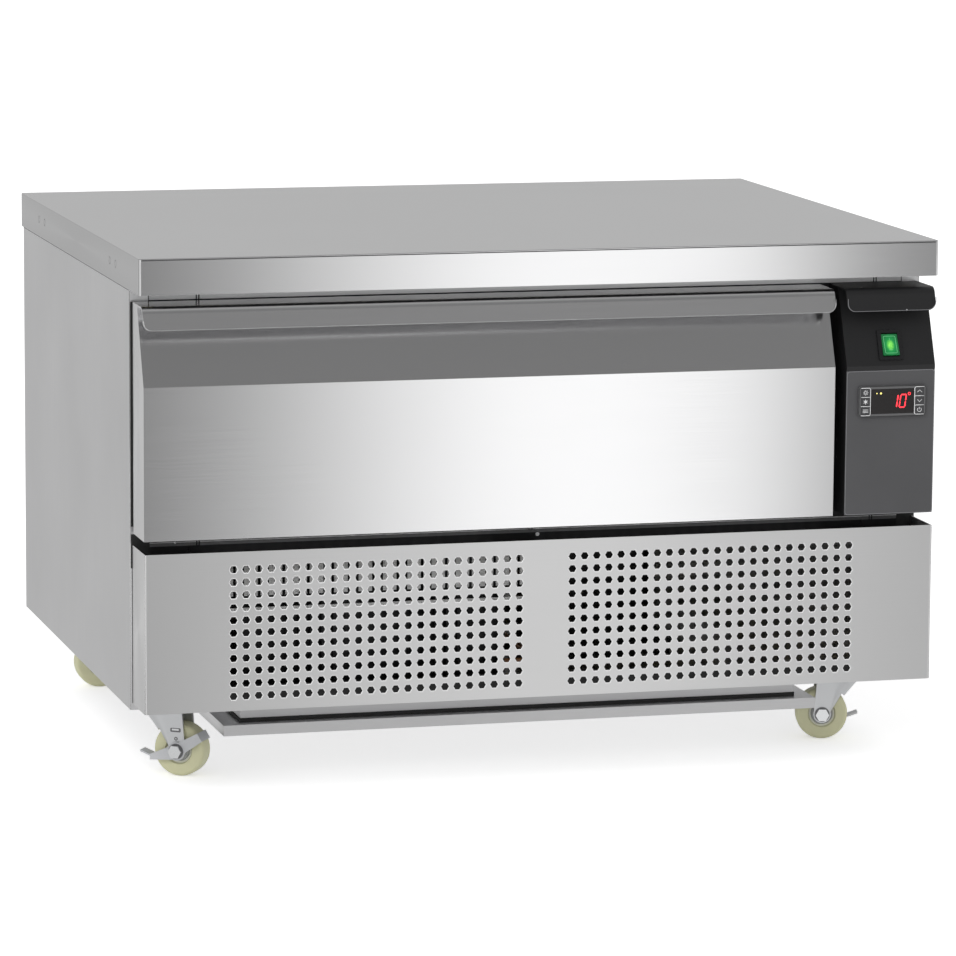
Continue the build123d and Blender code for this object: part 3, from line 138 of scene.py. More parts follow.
def tube_mesh(points, radius, sides=8, closed=False):
    """A round bar that follows points, with mitred corners."""
    points = [Vector(p) for p in points]
    count = len(points)
    verts = []
    faces = []
    across = None
    for i, point in enumerate(points):
        before = points[i - 1] if i or closed else None
        after = points[(i + 1) % count] if i < count - 1 or closed else None
        way_in = (point - before).normalized() if before is not None else (after - point).normalized()
        way_out = (after - point).normalized() if after is not None else way_in
        along = (way_in + way_out).normalized()
        if across is None:
            across = along.orthogonal().normalized()
        else:
            across = (across - along * across.dot(along)).normalized()
        other = along.cross(across)
        for k in range(sides):
            turn = 2 * pi * (k + 0.5) / sides
            verts.append(point + (across * cos(turn) + other * sin(turn)) * radius)
    rings = count if closed else count - 1
    for i in range(rings):
        a = i * sides
        b = ((i + 1) % count) * sides
        for k in range(sides):
            n = (k + 1) % sides
            faces.append((a + k, a + n, b + n, b + k))
    if not closed:
        faces.append(tuple(range(sides)))
        faces.append(tuple((count - 1) * sides + k for k in reversed(range(sides))))
    return verts, faces


def lathe_mesh(profile, middle, axis, segments=64):
    """A closed profile of (radius, place along the axis) turned round the axis."""
    axis = Vector(axis).normalized()
    middle = Vector(middle)
    across = axis.orthogonal().normalized()
    other = axis.cross(across)
    verts = []
    faces = []
    count = len(profile)
    for s in range(segments):
        turn = 2 * pi * s / segments
        out = across * cos(turn) + other * sin(turn)
        for radius, place in profile:
            verts.append(middle + out * radius + axis * place)
    for s in range(segments):
        a = s * count
        b = ((s + 1) % segments) * count
        for k in range(count):
            n = (k + 1) % count
            faces.append((a + k, a + n, b + n, b + k))
    return verts, faces


def prism_mesh(outline, origin, right, up, depth):
    """An outline in the plane of right and up, drawn out by depth along their cross product."""
    right = Vector(right)
    up = Vector(up)
    out = right.cross(up).normalized()
    origin = Vector(origin)
    count = len(outline)
    verts = [origin + right * x + up * y for x, y in outline]
    verts += [v + out * depth for v in verts]
    faces = [tuple(reversed(range(count))), tuple(range(count, 2 * count))]
    for k in range(count):
        n = (k + 1) % count
        faces.append((k, n, n + count, k + count))
    return verts, faces


def rounded_outline(width, height, radius, steps=5, middle=(0.0, 0.0)):
    """Points of a rectangle with round corners."""
    points = []
    for corner, (sx, sy) in enumerate(((1, 1), (-1, 1), (-1, -1), (1, -1))):
        for k in range(steps + 1):
            turn = pi / 2 * (corner + k / steps)
            points.append((
                middle[0] + sx * (width / 2 - radius) + radius * cos(turn),
                middle[1] + sy * (height / 2 - radius) + radius * sin(turn),
            ))
    return points


def circle_outline(radius, steps=16, middle=(0.0, 0.0)):
    """Points of a circle."""
    turns = [2 * pi * k / steps for k in range(steps)]
    return [(middle[0] + radius * cos(t), middle[1] + radius * sin(t)) for t in turns]


def quarter(steps):
    """Angles of a quarter turn in equal steps, from 0."""
    return [pi / 2 * k / steps for k in range(steps + 1)]


def wheel_axle(place):
    """Middle of a castor's wheel, and the direction of its axle."""
    joint = next(j for j in frame["joints"] if j["name"] == "wheel_spin_" + place)
    return Vector(joint["pos_m"]), Vector(joint["axis"])


# Materials
class Nodes:
    """Short calls for the nodes of a tree."""

    def __init__(self, tree):
        self.tree = tree

    def node(self, kind, **values):
        made = self.tree.nodes.new(kind)
        for key, value in values.items():
            if hasattr(made, key):
                setattr(made, key, value)
            else:
                made.inputs[key].default_value = value
        return made

    def link(self, source, target):
        self.tree.links.new(source, target)

    def feed(self, node, sockets, values):
        """Give the node's sockets numbers, colours or what other sockets put out."""
        for key, value in zip(sockets, values):
            if isinstance(value, (int, float)):
                node.inputs[key].default_value = value
            elif isinstance(value, tuple):
                node.inputs[key].default_value = (*value, 1.0)
            else:
                self.link(value, node.inputs[key])

    def spread(self, value, low, high, start=0.3, end=0.7):
        """The value from start to end, spread from low to high."""
        node = self.node("ShaderNodeMapRange")
        sockets = ("Value", "From Min", "From Max", "To Min", "To Max")
        self.feed(node, sockets, (value, start, end, low, high))
        return node.outputs["Result"]

    def math(self, operation, *values):
        node = self.node("ShaderNodeMath", operation=operation)
        self.feed(node, range(len(values)), values)
        return node.outputs["Value"]

    def mix(self, factor, first, second):
        """Two colours mixed by a factor."""
        node = self.node("ShaderNodeMix", data_type="RGBA")
        self.feed(node, (0, 6, 7), (factor, first, second))
        return node.outputs[2]

    def blend(self, factor, first, second):
        """Two numbers mixed by a factor."""
        node = self.node("ShaderNodeMix", data_type="FLOAT")
        self.feed(node, (0, 2, 3), (factor, first, second))
        return node.outputs[0]

    def ramp(self, value, stops):
        """The value through a ramp of grey levels, as (place, level)."""
        node = self.node("ShaderNodeValToRGB")
        node.color_ramp.interpolation = "LINEAR"
        elements = node.color_ramp.elements
        while len(elements) > 1:
            elements.remove(elements[-1])
        for i, (place, level) in enumerate(stops):
            element = elements[0] if i == 0 else elements.new(place)
            element.position = place
            element.color = (level, level, level, 1.0)
        self.link(value, node.inputs[0])
        return node.outputs["Color"]


class Shader(Nodes):
    """A material with a Principled shader."""

    def __init__(self, name, colour, metallic=0.0, roughness=0.5):
        self.material = bpy.data.materials.new(name)
        self.material.use_nodes = True
        super().__init__(self.material.node_tree)
        self.principled = self.tree.nodes["Principled BSDF"]
        self.set("Base Color", (*colour, 1.0))
        self.set("Metallic", metallic)
        self.set("Roughness", roughness)

    def set(self, socket, value):
        self.principled.inputs[socket].default_value = value

    def drive(self, socket, source):
        self.link(source, self.principled.inputs[socket])

    def noise(self, scale, detail, stretch=(1.0, 1.0, 1.0)):
        """Noise over the object's own coordinates."""
        place = self.node("ShaderNodeTexCoord")
        mapping = self.node("ShaderNodeMapping", Scale=stretch)
        self.link(place.outputs["Object"], mapping.inputs["Vector"])
        noise = self.node("ShaderNodeTexNoise", Scale=scale, Detail=detail)
        self.link(mapping.outputs["Vector"], noise.inputs["Vector"])
        return noise.outputs["Fac"]

    def clouds(self, colour, scale, depth):
        """The colour, a little lighter and darker in broad soft patches."""
        patches = self.spread(self.noise(scale, 3.0), 0.0, 1.0)
        return self.mix(patches, shade(colour, 1 - depth), shade(colour, 1 + depth))

    def bump(self, height, strength, distance):
        bump = self.node("ShaderNodeBump", Strength=strength, Distance=distance)
        self.link(height, bump.inputs["Height"])
        self.drive("Normal", bump.outputs["Normal"])


def shade(colour, factor):
    return tuple(min(1.0, c * factor) for c in colour)


BRUSH_SCALES = (4.0, 800.0)  # of the fine lines: along the brush, across it
BRUSH_NOISE = (3.0, 4.0)  # scale and detail
BRUSH_GLOSS = (0.03, 0.05)  # how far the lines take the roughness down and up
BRUSH_BUMP = (0.02, 0.0002)  # strength and distance
SHEET_CLOUDS = 5.0
SHADED_FLANK_TURN = 0.7  # a face whose normal points further left or right than this is a flank


def steel(name, colour, roughness, brush, mottle=0.05, grain=0.03, tangent=None, anisotropy=0.0,
          brushed=1.0, metallic=1.0, flank_shade=1.0):
    """Brushed stainless sheet: fine lines along the brush direction, a broad cloudy variation in tone.

    brushed scales the lines' depth, and the last argument sets a painted shade: the darker tone of the faces
    that look left and right."""
    made = Shader(name, colour, metallic, roughness)
    along, across = BRUSH_SCALES
    lines = made.noise(*BRUSH_NOISE, tuple(along if b else across for b in brush))
    tone = made.clouds(colour, SHEET_CLOUDS, mottle)
    tint = made.mix(made.spread(lines, 0.0, 1.0), shade(colour, 1 - grain), tone)
    # Painted shade: faces that look left or right take a darker tone
    if flank_shade != 1.0:
        geometry = made.node("ShaderNodeNewGeometry")
        split = made.node("ShaderNodeSeparateXYZ")
        made.link(geometry.outputs["True Normal"], split.inputs[0])
        shaded_flank = made.math("GREATER_THAN", made.math("ABSOLUTE", split.outputs["X"]), SHADED_FLANK_TURN)
        tint = made.mix(shaded_flank, tint, shade(colour, flank_shade))
    made.drive("Base Color", tint)
    down, up = BRUSH_GLOSS
    made.drive("Roughness", made.spread(lines, roughness - down * brushed, roughness + up * brushed))
    strength, distance = BRUSH_BUMP
    made.bump(lines, strength * brushed, distance)
    if tangent:
        made.set("Anisotropic", anisotropy)
        direction = made.node("ShaderNodeTangent", direction_type="RADIAL", axis=tangent)
        made.drive("Tangent", direction.outputs["Tangent"])
    return made.material


MOULD_GLOSS = (0.05, 0.08)  # how far the grain takes the roughness down and up
MOULD_CLOUDS = 12.0
GRAIN_DISTANCE = 0.0001


def moulded(name, colour, roughness, grain=900.0, depth=0.12, tone=0.06):
    """Moulded or painted surface with a fine grain."""
    made = Shader(name, colour, 0.0, roughness)
    grains = made.noise(grain, 2.0)
    made.drive("Base Color", made.clouds(colour, MOULD_CLOUDS, tone))
    down, up = MOULD_GLOSS
    made.drive("Roughness", made.spread(grains, roughness - down, roughness + up))
    made.bump(grains, depth, GRAIN_DISTANCE)
    return made.material


GLOW_ROUGHNESS = 0.3
GLOW_GLOSS = (0.25, 0.4)  # roughness between its flecks and in them
GLOW_FLECKS = 700.0


def glowing(name, colour, light, strength):
    """A lit lens or a lit segment."""
    made = Shader(name, colour, 0.0, GLOW_ROUGHNESS)
    made.set("Emission Color", (*light, 1.0))
    made.set("Emission Strength", strength)
    made.drive("Roughness", made.spread(made.noise(GLOW_FLECKS, 2.0), *GLOW_GLOSS))
    return made.material


# Brush directions, as the axes along which the lines run
LEVEL = (1, 0, 0)
DEEP = (0, 1, 0)
UPRIGHT = (0, 0, 1)
UNBRUSHED = (1, 1, 1)

# name, colour, roughness, brush, mottle, grain, tangent, anisotropy, brushed, metallic, painted shade of the
# flanks
STEELS = (
    # The worktop's side faces carry a painted shade, 0.70 of its tone
    ("worktop_steel", (0.82, 0.82, 0.825), 0.13, LEVEL, 0.02, 0.02, "X", 0.95, 0.35, 1.0, 0.70),
    ("side_steel", (0.80, 0.80, 0.805), 0.34, UPRIGHT, 0.07, 0.06, "Z", 0.5),
    ("front_steel", (0.86, 0.86, 0.865), 0.14, LEVEL, 0.015, 0.015, "X", 0.95, 0.35),
    ("grille_steel", (0.88, 0.88, 0.88), 0.29, LEVEL, 0.02, 0.008, "X", 0.88, 0.15),
    # Painted highlight: bright steel for thin lines along edges, folds, arrises and seams
    ("edge_light", (0.95, 0.95, 0.95), 0.20, LEVEL, 0.02, 0.02),
    ("rail_steel", (0.80, 0.80, 0.805), 0.30, LEVEL, 0.03, 0.03, "X", 0.7),
    # Painted shade: dim steel for the band on the lower rail, the washers and the fork marks
    ("rail_dim", (0.22, 0.22, 0.225), 0.40, LEVEL, 0.04, 0.03),
    # Painted shade: dark steel for lines under the worktop's arrises and at the grille's back edges
    ("edge_dark", (0.16, 0.16, 0.165), 0.40, LEVEL, 0.02, 0.02),
    # Painted shade: the steel front frame darkened where it lies recessed under the worktop
    ("frame_dark", (0.05, 0.05, 0.052), 0.35, LEVEL, 0.06, 0.05),
    ("liner_steel", (0.66, 0.67, 0.68), 0.32, DEEP),
    ("slide_steel", (0.62, 0.63, 0.64), 0.30, DEEP),
    ("galvanised", (0.50, 0.51, 0.52), 0.42, UNBRUSHED, 0.12, 0.05),
    ("cover_steel", (0.84, 0.84, 0.845), 0.36, LEVEL, 0.04, 0.04, "X", 0.6),
    ("zinc", (0.74, 0.75, 0.76), 0.42, UNBRUSHED, 0.05, 0.04),
    ("brake_zinc", (0.66, 0.67, 0.69), 0.50, UNBRUSHED, 0.05, 0.04, None, 0.0, 1.0, 0.35),
    ("stud_steel", (0.36, 0.36, 0.365), 0.35, UPRIGHT, 0.04, 0.03),
    ("bright_zinc", (0.82, 0.83, 0.84), 0.22, UNBRUSHED, 0.04, 0.03),
    ("coil", (0.66, 0.67, 0.68), 0.38, UPRIGHT, 0.08, 0.06),
    # Condenser coil: black paint, darkened further as painted shade for the unlit space behind the grille
    ("dark_coil", (0.07, 0.07, 0.072), 0.45, UPRIGHT, 0.15, 0.10),
    ("chassis_steel", (0.74, 0.74, 0.75), 0.38, LEVEL, 0.05, 0.04, "X", 0.6),
    # Painted shade: the fan shroud darkened for the unlit space behind the grille
    ("dark_sheet", (0.12, 0.12, 0.125), 0.45, UNBRUSHED, 0.10, 0.05),
    ("copper", (0.72, 0.40, 0.25), 0.30, UNBRUSHED, 0.08, 0.04),
)
# name, colour, roughness, grain, depth, tone
MOULDINGS = (
    ("housing_black", (0.0135, 0.0135, 0.0145), 0.44),
    ("fascia_grey", (0.078, 0.078, 0.082), 0.50),
    # Painted highlight: pale grey lines on the edges of the black column and the fascia
    ("fascia_edge", (0.20, 0.20, 0.21), 0.40),
    ("controller_grey", (0.115, 0.115, 0.118), 0.42),
    ("bezel_rim", (0.018, 0.018, 0.019), 0.42),
    ("key_grey", (0.050, 0.050, 0.053), 0.45),
    # Painted highlight: pale rims of the grille's holes and its upper and lower edges
    ("grille_edge", (0.86, 0.86, 0.86), 0.35, 900.0, 0.05, 0.03),
    ("mark_pale", (0.82, 0.82, 0.83), 0.45),
    # Painted light: pale white guard standing for the lit tops of the condenser's fins
    ("guard_pale", (0.90, 0.90, 0.90), 0.40),
    ("switch_black", (0.012, 0.012, 0.013), 0.30),
    ("gland_black", (0.02, 0.02, 0.02), 0.5),
    ("gasket_grey", (0.09, 0.09, 0.095), 0.6),
    # Black rubber for the compressor mounts; also painted shade for the black strips in gaps and under edges
    ("black_rubber", (0.02, 0.02, 0.02), 0.7),
    ("foam", (0.72, 0.62, 0.38), 0.8, 300.0, 0.4),
    ("liner_plastic", (0.62, 0.63, 0.64), 0.5),
    ("fan_blade", (0.02, 0.02, 0.022), 0.45),
    ("motor", (0.05, 0.05, 0.055), 0.5),
    ("compressor_black", (0.012, 0.012, 0.013), 0.28, 200.0),
    ("nylon", (0.72, 0.71, 0.46), 0.42, 500.0, 0.06, 0.04),
    ("nylon_pale", (0.80, 0.80, 0.68), 0.42, 500.0, 0.06, 0.03),
    ("hub_grey", (0.42, 0.43, 0.44), 0.45),
    ("display_dark", (0.012, 0.010, 0.010), 0.12, 1200.0, 0.02),
)
# name, colour, light, strength
LIGHTS = (
    ("segment_red", (0.5, 0.02, 0.02), (1.0, 0.03, 0.05), 2.2),
    ("rocker_line", (0.05, 0.25, 0.10), (0.22, 0.85, 0.36), 0.42),
    ("led_amber", (0.5, 0.4, 0.1), (0.95, 0.85, 0.25), 1.2),
)
FINISHES = {}
for make, rows in ((steel, STEELS), (moulded, MOULDINGS), (glowing, LIGHTS)):
    for row in rows:
        FINISHES[row[0]] = make(*row)

LENS_BODY = (0.01, 0.12, 0.04)
LENS_RIM = (0.0, 0.03, 0.006)
LENS_GREEN = (0.004, 0.27, 0.045)
LENS_LIT = (0.32, 1.0, 0.12)
LENS_ROUGHNESS = 0.20
LENS_STRENGTH = 0.85
LENS_COAT = 0.4
LENS_SQUEEZE = (1.0, 0.3, 0.72)  # makes the glow taller than it is wide
# Level in the middle and outside, and the distances between which it fades
CORE_SPREAD = (1.0, 0.0, 0.0012, 0.0045)
RIM_SPREAD = (1.0, 0.12, 0.0040, 0.0088)
RIPPLE_NOISE = (520.0, 3.0)
RIPPLE_SPREAD = (0.65, 1.25)


def rocker_green():
    """Lit green lens: dark at its rim, yellow-green in the middle where its lamp is."""
    low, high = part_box("power_rocker")
    middle = (Vector(low) + Vector(high)) / 2
    made = Shader("rocker_green", LENS_BODY, 0.0, LENS_ROUGHNESS)
    away = made.node("ShaderNodeTexCoord").outputs["Object"]
    for operation, other in (("SUBTRACT", middle), ("MULTIPLY", LENS_SQUEEZE)):
        node = made.node("ShaderNodeVectorMath", operation=operation)
        node.inputs[1].default_value = other
        made.link(away, node.inputs[0])
        away = node.outputs["Vector"]
    length = made.node("ShaderNodeVectorMath", operation="LENGTH")
    made.link(away, length.inputs[0])
    distance = length.outputs["Value"]
    core = made.spread(distance, *CORE_SPREAD)
    lens = made.spread(distance, *RIM_SPREAD)
    glow = made.math("MULTIPLY", core, made.spread(made.noise(*RIPPLE_NOISE), *RIPPLE_SPREAD))
    made.drive("Emission Color", made.mix(lens, LENS_RIM, made.mix(glow, LENS_GREEN, LENS_LIT)))
    made.set("Emission Strength", LENS_STRENGTH)
    made.set("Coat Weight", LENS_COAT)
    return made.material


FINISHES["rocker_green"] = rocker_green()

NODE_FINISH = {
    "worktop": "worktop_steel", "back_panel": "galvanised", "front_frame": "frame_dark",
    "insulation": "foam", "inner_liner": "liner_steel", "evaporator_cover": "liner_steel",
    "evaporator_coil": "coil", "condenser_coil": "dark_coil", "condenser_fan_blade": "fan_blade",
    "condenser_fan_motor": "motor", "evaporator_fan_blade": "fan_blade", "evaporator_fan_motor": "motor",
    "fan_shroud": "dark_sheet", "compressor": "compressor_black", "compressor_mounts": "black_rubber",
    "refrigerant_pipes": "copper", "base_chassis": "chassis_steel", "bottom_cover": "cover_steel",
    "grille_panel": "grille_steel", "drawer_front": "front_steel", "drawer_inner_panel": "liner_plastic",
    "drawer_gasket": "gasket_grey", "drawer_frame": "liner_steel", "control_housing": "housing_black",
    "control_fascia": "fascia_grey", "controller_body": "controller_grey", "display_window": "display_dark",
    "switch_bezel": "switch_black", "power_rocker": "rocker_green", "cable_gland": "gland_black",
    "castor_plates": "zinc", "screws": "bright_zinc",
}
FAMILY_FINISH = (
    ("side_panel", "side_steel"), ("slide", "slide_steel"), ("key", "key_grey"), ("castor_wheel", "nylon"),
    ("axle_bolt", "bright_zinc"), ("brake_lever", "brake_zinc"),
)
for name, node in frame["nodes"].items():
    family = next((finish for start, finish in FAMILY_FINISH if name.startswith(start)), "zinc")
    node.data.materials.clear()
    node.data.materials.append(FINISHES[NODE_FINISH.get(name, family)])


# Studio: pale floor, soft lamp, and a surround whose bands of light and dark show in the steel
def studio_floor():
    half = FLOOR_SIZE / 2
    mesh = bpy.data.meshes.new("floor")
    corners = [(-half, -half, 0), (half, -half, 0), (half, half, 0), (-half, half, 0)]
    mesh.from_pydata(corners, [], [(0, 1, 2, 3)])
    floor = bpy.data.objects.new("floor", mesh)
    bpy.context.scene.collection.objects.link(floor)
    made = Shader("floor", FLOOR_COLOUR, 0.0, FLOOR_ROUGHNESS)
    made.set("Specular IOR Level", 0.0)
    made.set("Emission Color", (1.0, 1.0, 1.0, 1.0))
    path = made.node("ShaderNodeLightPath")
    seen = made.math("MAXIMUM", path.outputs["Is Camera Ray"], path.outputs["Is Glossy Ray"])
    seen = made.math("MAXIMUM", seen, path.outputs["Is Transmission Ray"])
    made.drive("Emission Strength", made.math("MULTIPLY", seen, FLOOR_GLOW))
    mesh.materials.append(made.material)
    floor.visible_glossy = False
    floor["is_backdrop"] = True


# Level of the surround's front half and back half by height, from straight down to straight up
FRONT_LEVELS = (
    (-1.0, 0.75), (-0.30, 0.90), (-0.06, 1.0), (0.03, 1.05), (0.14, 0.95), (0.25, 0.46), (0.36, 0.21),
    (0.66, 0.18), (0.85, 0.26), (1.0, 0.40),
)
BACK_LEVELS = (
    (-1.0, 0.75), (-0.30, 0.62), (-0.20, 0.56), (-0.10, 0.56), (0.02, 0.56), (0.14, 0.52), (0.50, 0.52),
    (1.0, 0.40),
)
HALVES_MEET = (0.35, -0.35)  # how far backwards a direction points where the halves start to mix and end to
# Level of its low part by direction, in degrees from straight ahead of the front, towards the right
AZIMUTH_LEVELS = (
    (-180, 1.0), (-130, 1.0), (-100, 0.80), (-75, 0.95), (-40, 0.55), (-18, 0.95), (-2, 0.92), (6.0, 0.15),
    (9.5, 0.14), (11.2, 0.20), (11.8, 0.36), (12.4, 0.40), (13.4, 0.66), (14.2, 0.90), (15.2, 1.24),
    (17.5, 1.28), (18.4, 1.18), (19.2, 1.06), (19.6, 0.38), (21, 0.22), (26, 0.35), (33, 0.95), (60, 0.60),
    (90, 0.90), (130, 1.0), (180, 1.0),
)
LOW_PART = (0.05, 0.30)  # heights between which the low part's levels fade out


def studio_world():
    world = bpy.data.worlds.new("studio")
    bpy.context.scene.world = world
    world.use_nodes = True
    background = world.node_tree.nodes["Background"]
    made = Nodes(world.node_tree)
    place = made.node("ShaderNodeTexCoord")
    split = made.node("ShaderNodeSeparateXYZ")
    made.link(place.outputs["Generated"], split.inputs[0])
    x, y, z = (split.outputs[axis] for axis in "XYZ")

    height = made.math("MULTIPLY_ADD", z, 0.5, 0.5)
    back, front = (
        made.ramp(height, [((h + 1) / 2, level) for h, level in half]) for half in (BACK_LEVELS, FRONT_LEVELS)
    )
    by_height = made.blend(made.spread(y, 0.0, 1.0, *HALVES_MEET), back, front)
    turn = made.math("ARCTAN2", x, made.math("MULTIPLY", y, -1.0))
    turn = made.math("MULTIPLY_ADD", turn, 1 / (2 * pi), 0.5)
    by_turn = made.ramp(turn, [((degrees + 180) / 360, level) for degrees, level in AZIMUTH_LEVELS])
    bands = made.blend(made.spread(z, 1.0, 0.0, *LOW_PART), 1.0, by_turn)
    seen = made.math("MULTIPLY", by_height, bands)

    # Reflections show the bands, the camera sees white, and everything else gets an even light
    path = made.node("ShaderNodeLightPath")
    shown = made.math("MAXIMUM", path.outputs["Is Glossy Ray"], path.outputs["Is Transmission Ray"])
    level = made.blend(shown, WORLD_LEVEL, seen)
    made.link(made.math("MAXIMUM", level, path.outputs["Is Camera Ray"]), background.inputs["Color"])
    background.inputs["Strength"].default_value = 1.0


def studio_lamp():
    light = bpy.data.lights.new("soft_lamp", "AREA")
    light.shape = "SQUARE"
    light.size = LAMP_SIZE
    light.energy = LAMP_POWER
    lamp = bpy.data.objects.new("soft_lamp", light)
    bpy.context.scene.collection.objects.link(lamp)
    lamp.location = LAMP_PLACE
    aim = Vector(LAMP_AIM) - Vector(LAMP_PLACE)
    lamp.rotation_euler = aim.to_track_quat("-Z", "Y").to_euler()
    lamp.visible_glossy = False


def studio_camera():
    back = Vector((
        sin(CAMERA_AZIMUTH) * cos(CAMERA_ELEVATION),
        -cos(CAMERA_AZIMUTH) * cos(CAMERA_ELEVATION),
        sin(CAMERA_ELEVATION),
    ))
    right = (-back).cross(Vector((0, 0, 1))).normalized()
    up = right.cross(-back)
    tilted_right = right * cos(CAMERA_ROLL) + up * sin(CAMERA_ROLL)
    tilted_up = up * cos(CAMERA_ROLL) - right * sin(CAMERA_ROLL)
    data = bpy.data.cameras.new("camera")
    data.lens = CAMERA_LENS
    data.sensor_width = CAMERA_SENSOR
    data.clip_end = 500.0
    camera = bpy.data.objects.new("camera", data)
    bpy.context.scene.collection.objects.link(camera)
    turn = Matrix((tilted_right, tilted_up, back)).transposed().to_4x4()
    camera.matrix_world = Matrix.Translation(CAMERA_PLACE) @ turn
    bpy.context.scene.camera = camera


studio_floor()
studio_world()
studio_lamp()
studio_camera()
bpy.context.scene.view_settings.view_transform = "Standard"


# Grille: one folded sheet with two fields of hexagon holes, each hole with a rolled rim, pale with a painted
# highlight
HOLE_PITCH = 0.0134
HOLE_COLUMNS = 24
HOLE_ROWS = 11
HOLE_FIELD_GAP = 0.058
HOLE_DROP = 0.0015
HOLE_RADIUS = 0.0043
RIM_RADIUS = 0.0051
RIM_DEPTH = 0.0004
SHEET = 0.0012
GRILLE_FLANGE = 0.012
FOLD_RADIUS = 0.002
FOLD_STEPS = 4
# The rim faces carry a pale painted highlight
SHEET_FACE, PAINTED_HIGHLIGHT_FACE = 0, 1  # places of their finishes on the grille


def grille():
    (x0, y0, z0), (x1, y1, z1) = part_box("grille_panel")
    field = HOLE_PITCH * HOLE_COLUMNS
    centre = ((HOLE_COLUMNS - 1) * HOLE_PITCH + HOLE_FIELD_GAP) / 2
    middle_z = (z0 + z1) / 2 - HOLE_DROP
    bottom = middle_z - HOLE_PITCH * HOLE_ROWS / 2
    rows = [z0] + [bottom + HOLE_PITCH * k for k in range(HOLE_ROWS + 1)] + [z1]
    columns = []
    for side in (-1, 1):
        start = side * centre - field / 2
        columns += [start + HOLE_PITCH * k for k in range(HOLE_COLUMNS + 1)]

    # Path of the sheet in plan: (x, y, outward x, outward y)
    left, right, deep = x0 + FOLD_RADIUS, x1 - FOLD_RADIUS, y0 + FOLD_RADIUS
    path = [(x0, y1, -1.0, 0.0)]
    for turn in quarter(FOLD_STEPS):
        out = (-cos(turn), -sin(turn))
        path.append((left + FOLD_RADIUS * out[0], deep + FOLD_RADIUS * out[1], *out))
    first_hole = len(path)
    path += [(x, y0, 0.0, -1.0) for x in columns]
    for turn in quarter(FOLD_STEPS):
        out = (sin(turn), -cos(turn))
        path.append((right + FOLD_RADIUS * out[0], deep + FOLD_RADIUS * out[1], *out))
    path.append((x1, y1, 1.0, 0.0))

    verts = []
    faces = []
    kinds = []
    across = len(path)

    def add(point):
        verts.append(point)
        return len(verts) - 1

    def place(i, z, depth):
        x, y, nx, ny = path[i]
        return (x - nx * depth, y - ny * depth, z)

    outer = [[add(place(i, z, 0.0)) for i in range(across)] for z in rows]
    inner = [[add(place(i, z, SHEET)) for i in range(across)] for z in rows]

    def has_hole(i, j):
        if not 1 <= j <= HOLE_ROWS:
            return False
        k = i - first_hole
        return 0 <= k < HOLE_COLUMNS or HOLE_COLUMNS + 1 <= k < 2 * HOLE_COLUMNS + 1

    def ring(x, z, y, radius):
        turns = [pi / 3 * k for k in range(6)]
        return [add((x + radius * cos(t), y, z + radius * sin(t))) for t in turns]

    def face(corners, kind=SHEET_FACE):
        faces.append(corners)
        kinds.append(kind)

    def around(corners, h):
        """Faces between a square cell, from its lower left corner round to the left, and its hexagon h."""
        a, b, c, d = corners
        face((a, b, h[5], h[4]))
        face((b, c, h[1], h[0], h[5]))
        face((c, d, h[2], h[1]))
        face((d, a, h[4], h[3], h[2]))

    for j in range(len(rows) - 1):
        for i in range(across - 1):
            front, rear = ((s[j][i], s[j][i + 1], s[j + 1][i + 1], s[j + 1][i]) for s in (outer, inner))
            if has_hole(i, j):
                x = (path[i][0] + path[i + 1][0]) / 2
                z = (rows[j] + rows[j + 1]) / 2
                rings = [
                    ring(x, z, y0, RIM_RADIUS), ring(x, z, y0 + RIM_DEPTH, HOLE_RADIUS),
                    ring(x, z, y0 + SHEET, HOLE_RADIUS),
                ]
                around(front, rings[0])
                around(rear, rings[2])
                for one, two, kind in ((rings[0], rings[1], PAINTED_HIGHLIGHT_FACE), (rings[1], rings[2], SHEET_FACE)):
                    for k in range(6):
                        n = (k + 1) % 6
                        face((one[k], one[n], two[n], two[k]), kind)
            else:
                face(front)
                face(rear)
    # The sheet's upper and lower edges take the same pale painted highlight as the rims
    for i in range(across - 1):
        for j in (0, -1):
            face((outer[j][i], outer[j][i + 1], inner[j][i + 1], inner[j][i]), PAINTED_HIGHLIGHT_FACE)
    for j in range(len(rows) - 1):
        for i in (0, -1):
            face((outer[j][i], outer[j + 1][i], inner[j + 1][i], inner[j][i]))
    flange = box_mesh((x0 + SHEET, y0 + SHEET, z0), (x1 - SHEET, y0 + SHEET + GRILLE_FLANGE, z0 + SHEET))
    kinds.extend([SHEET_FACE] * len(flange[1]))
    form = joined([(verts, faces), flange])
    finishes = ("grille_steel", "grille_edge")
    sheet = add_piece("grille_sheet", form, "front_steel", *finishes, smooth=False, kinds=kinds)
    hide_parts("grille_panel")


grille()


# Wheels: nylon tyre with a rounded tread, a recessed web and a grey bearing hub
WHEEL_HALF = 0.0115
TREAD_ROUND = 0.0045
TREAD_STEPS = 6
WHEEL_SEGMENTS = 72
WHEEL_CREASE = radians(38)
# Bore, bearing, hub and pale rim of the web, as (radius, distance from the wheel's middle)
HUB_PROFILE = (
    (0.0042, 0.0125), (0.0080, 0.0125), (0.0086, 0.0118), (0.0104, 0.0118), (0.0110, 0.0110), (0.0114, 0.0081),
    (0.0120, 0.0081), (0.0123, 0.0089),
)
# Outer part of the web, as (depth under the tread, distance from the wheel's middle)
WEB_PROFILE = ((0.0144, 0.0091), (0.0136, 0.0109), (0.0130, WHEEL_HALF))
GREY_STEPS = range(6)
PALE_STEPS = range(6, 8)
TYRE_FACE, GREY_FACE, PALE_FACE = 0, 1, 2  # places of their finishes on a wheel


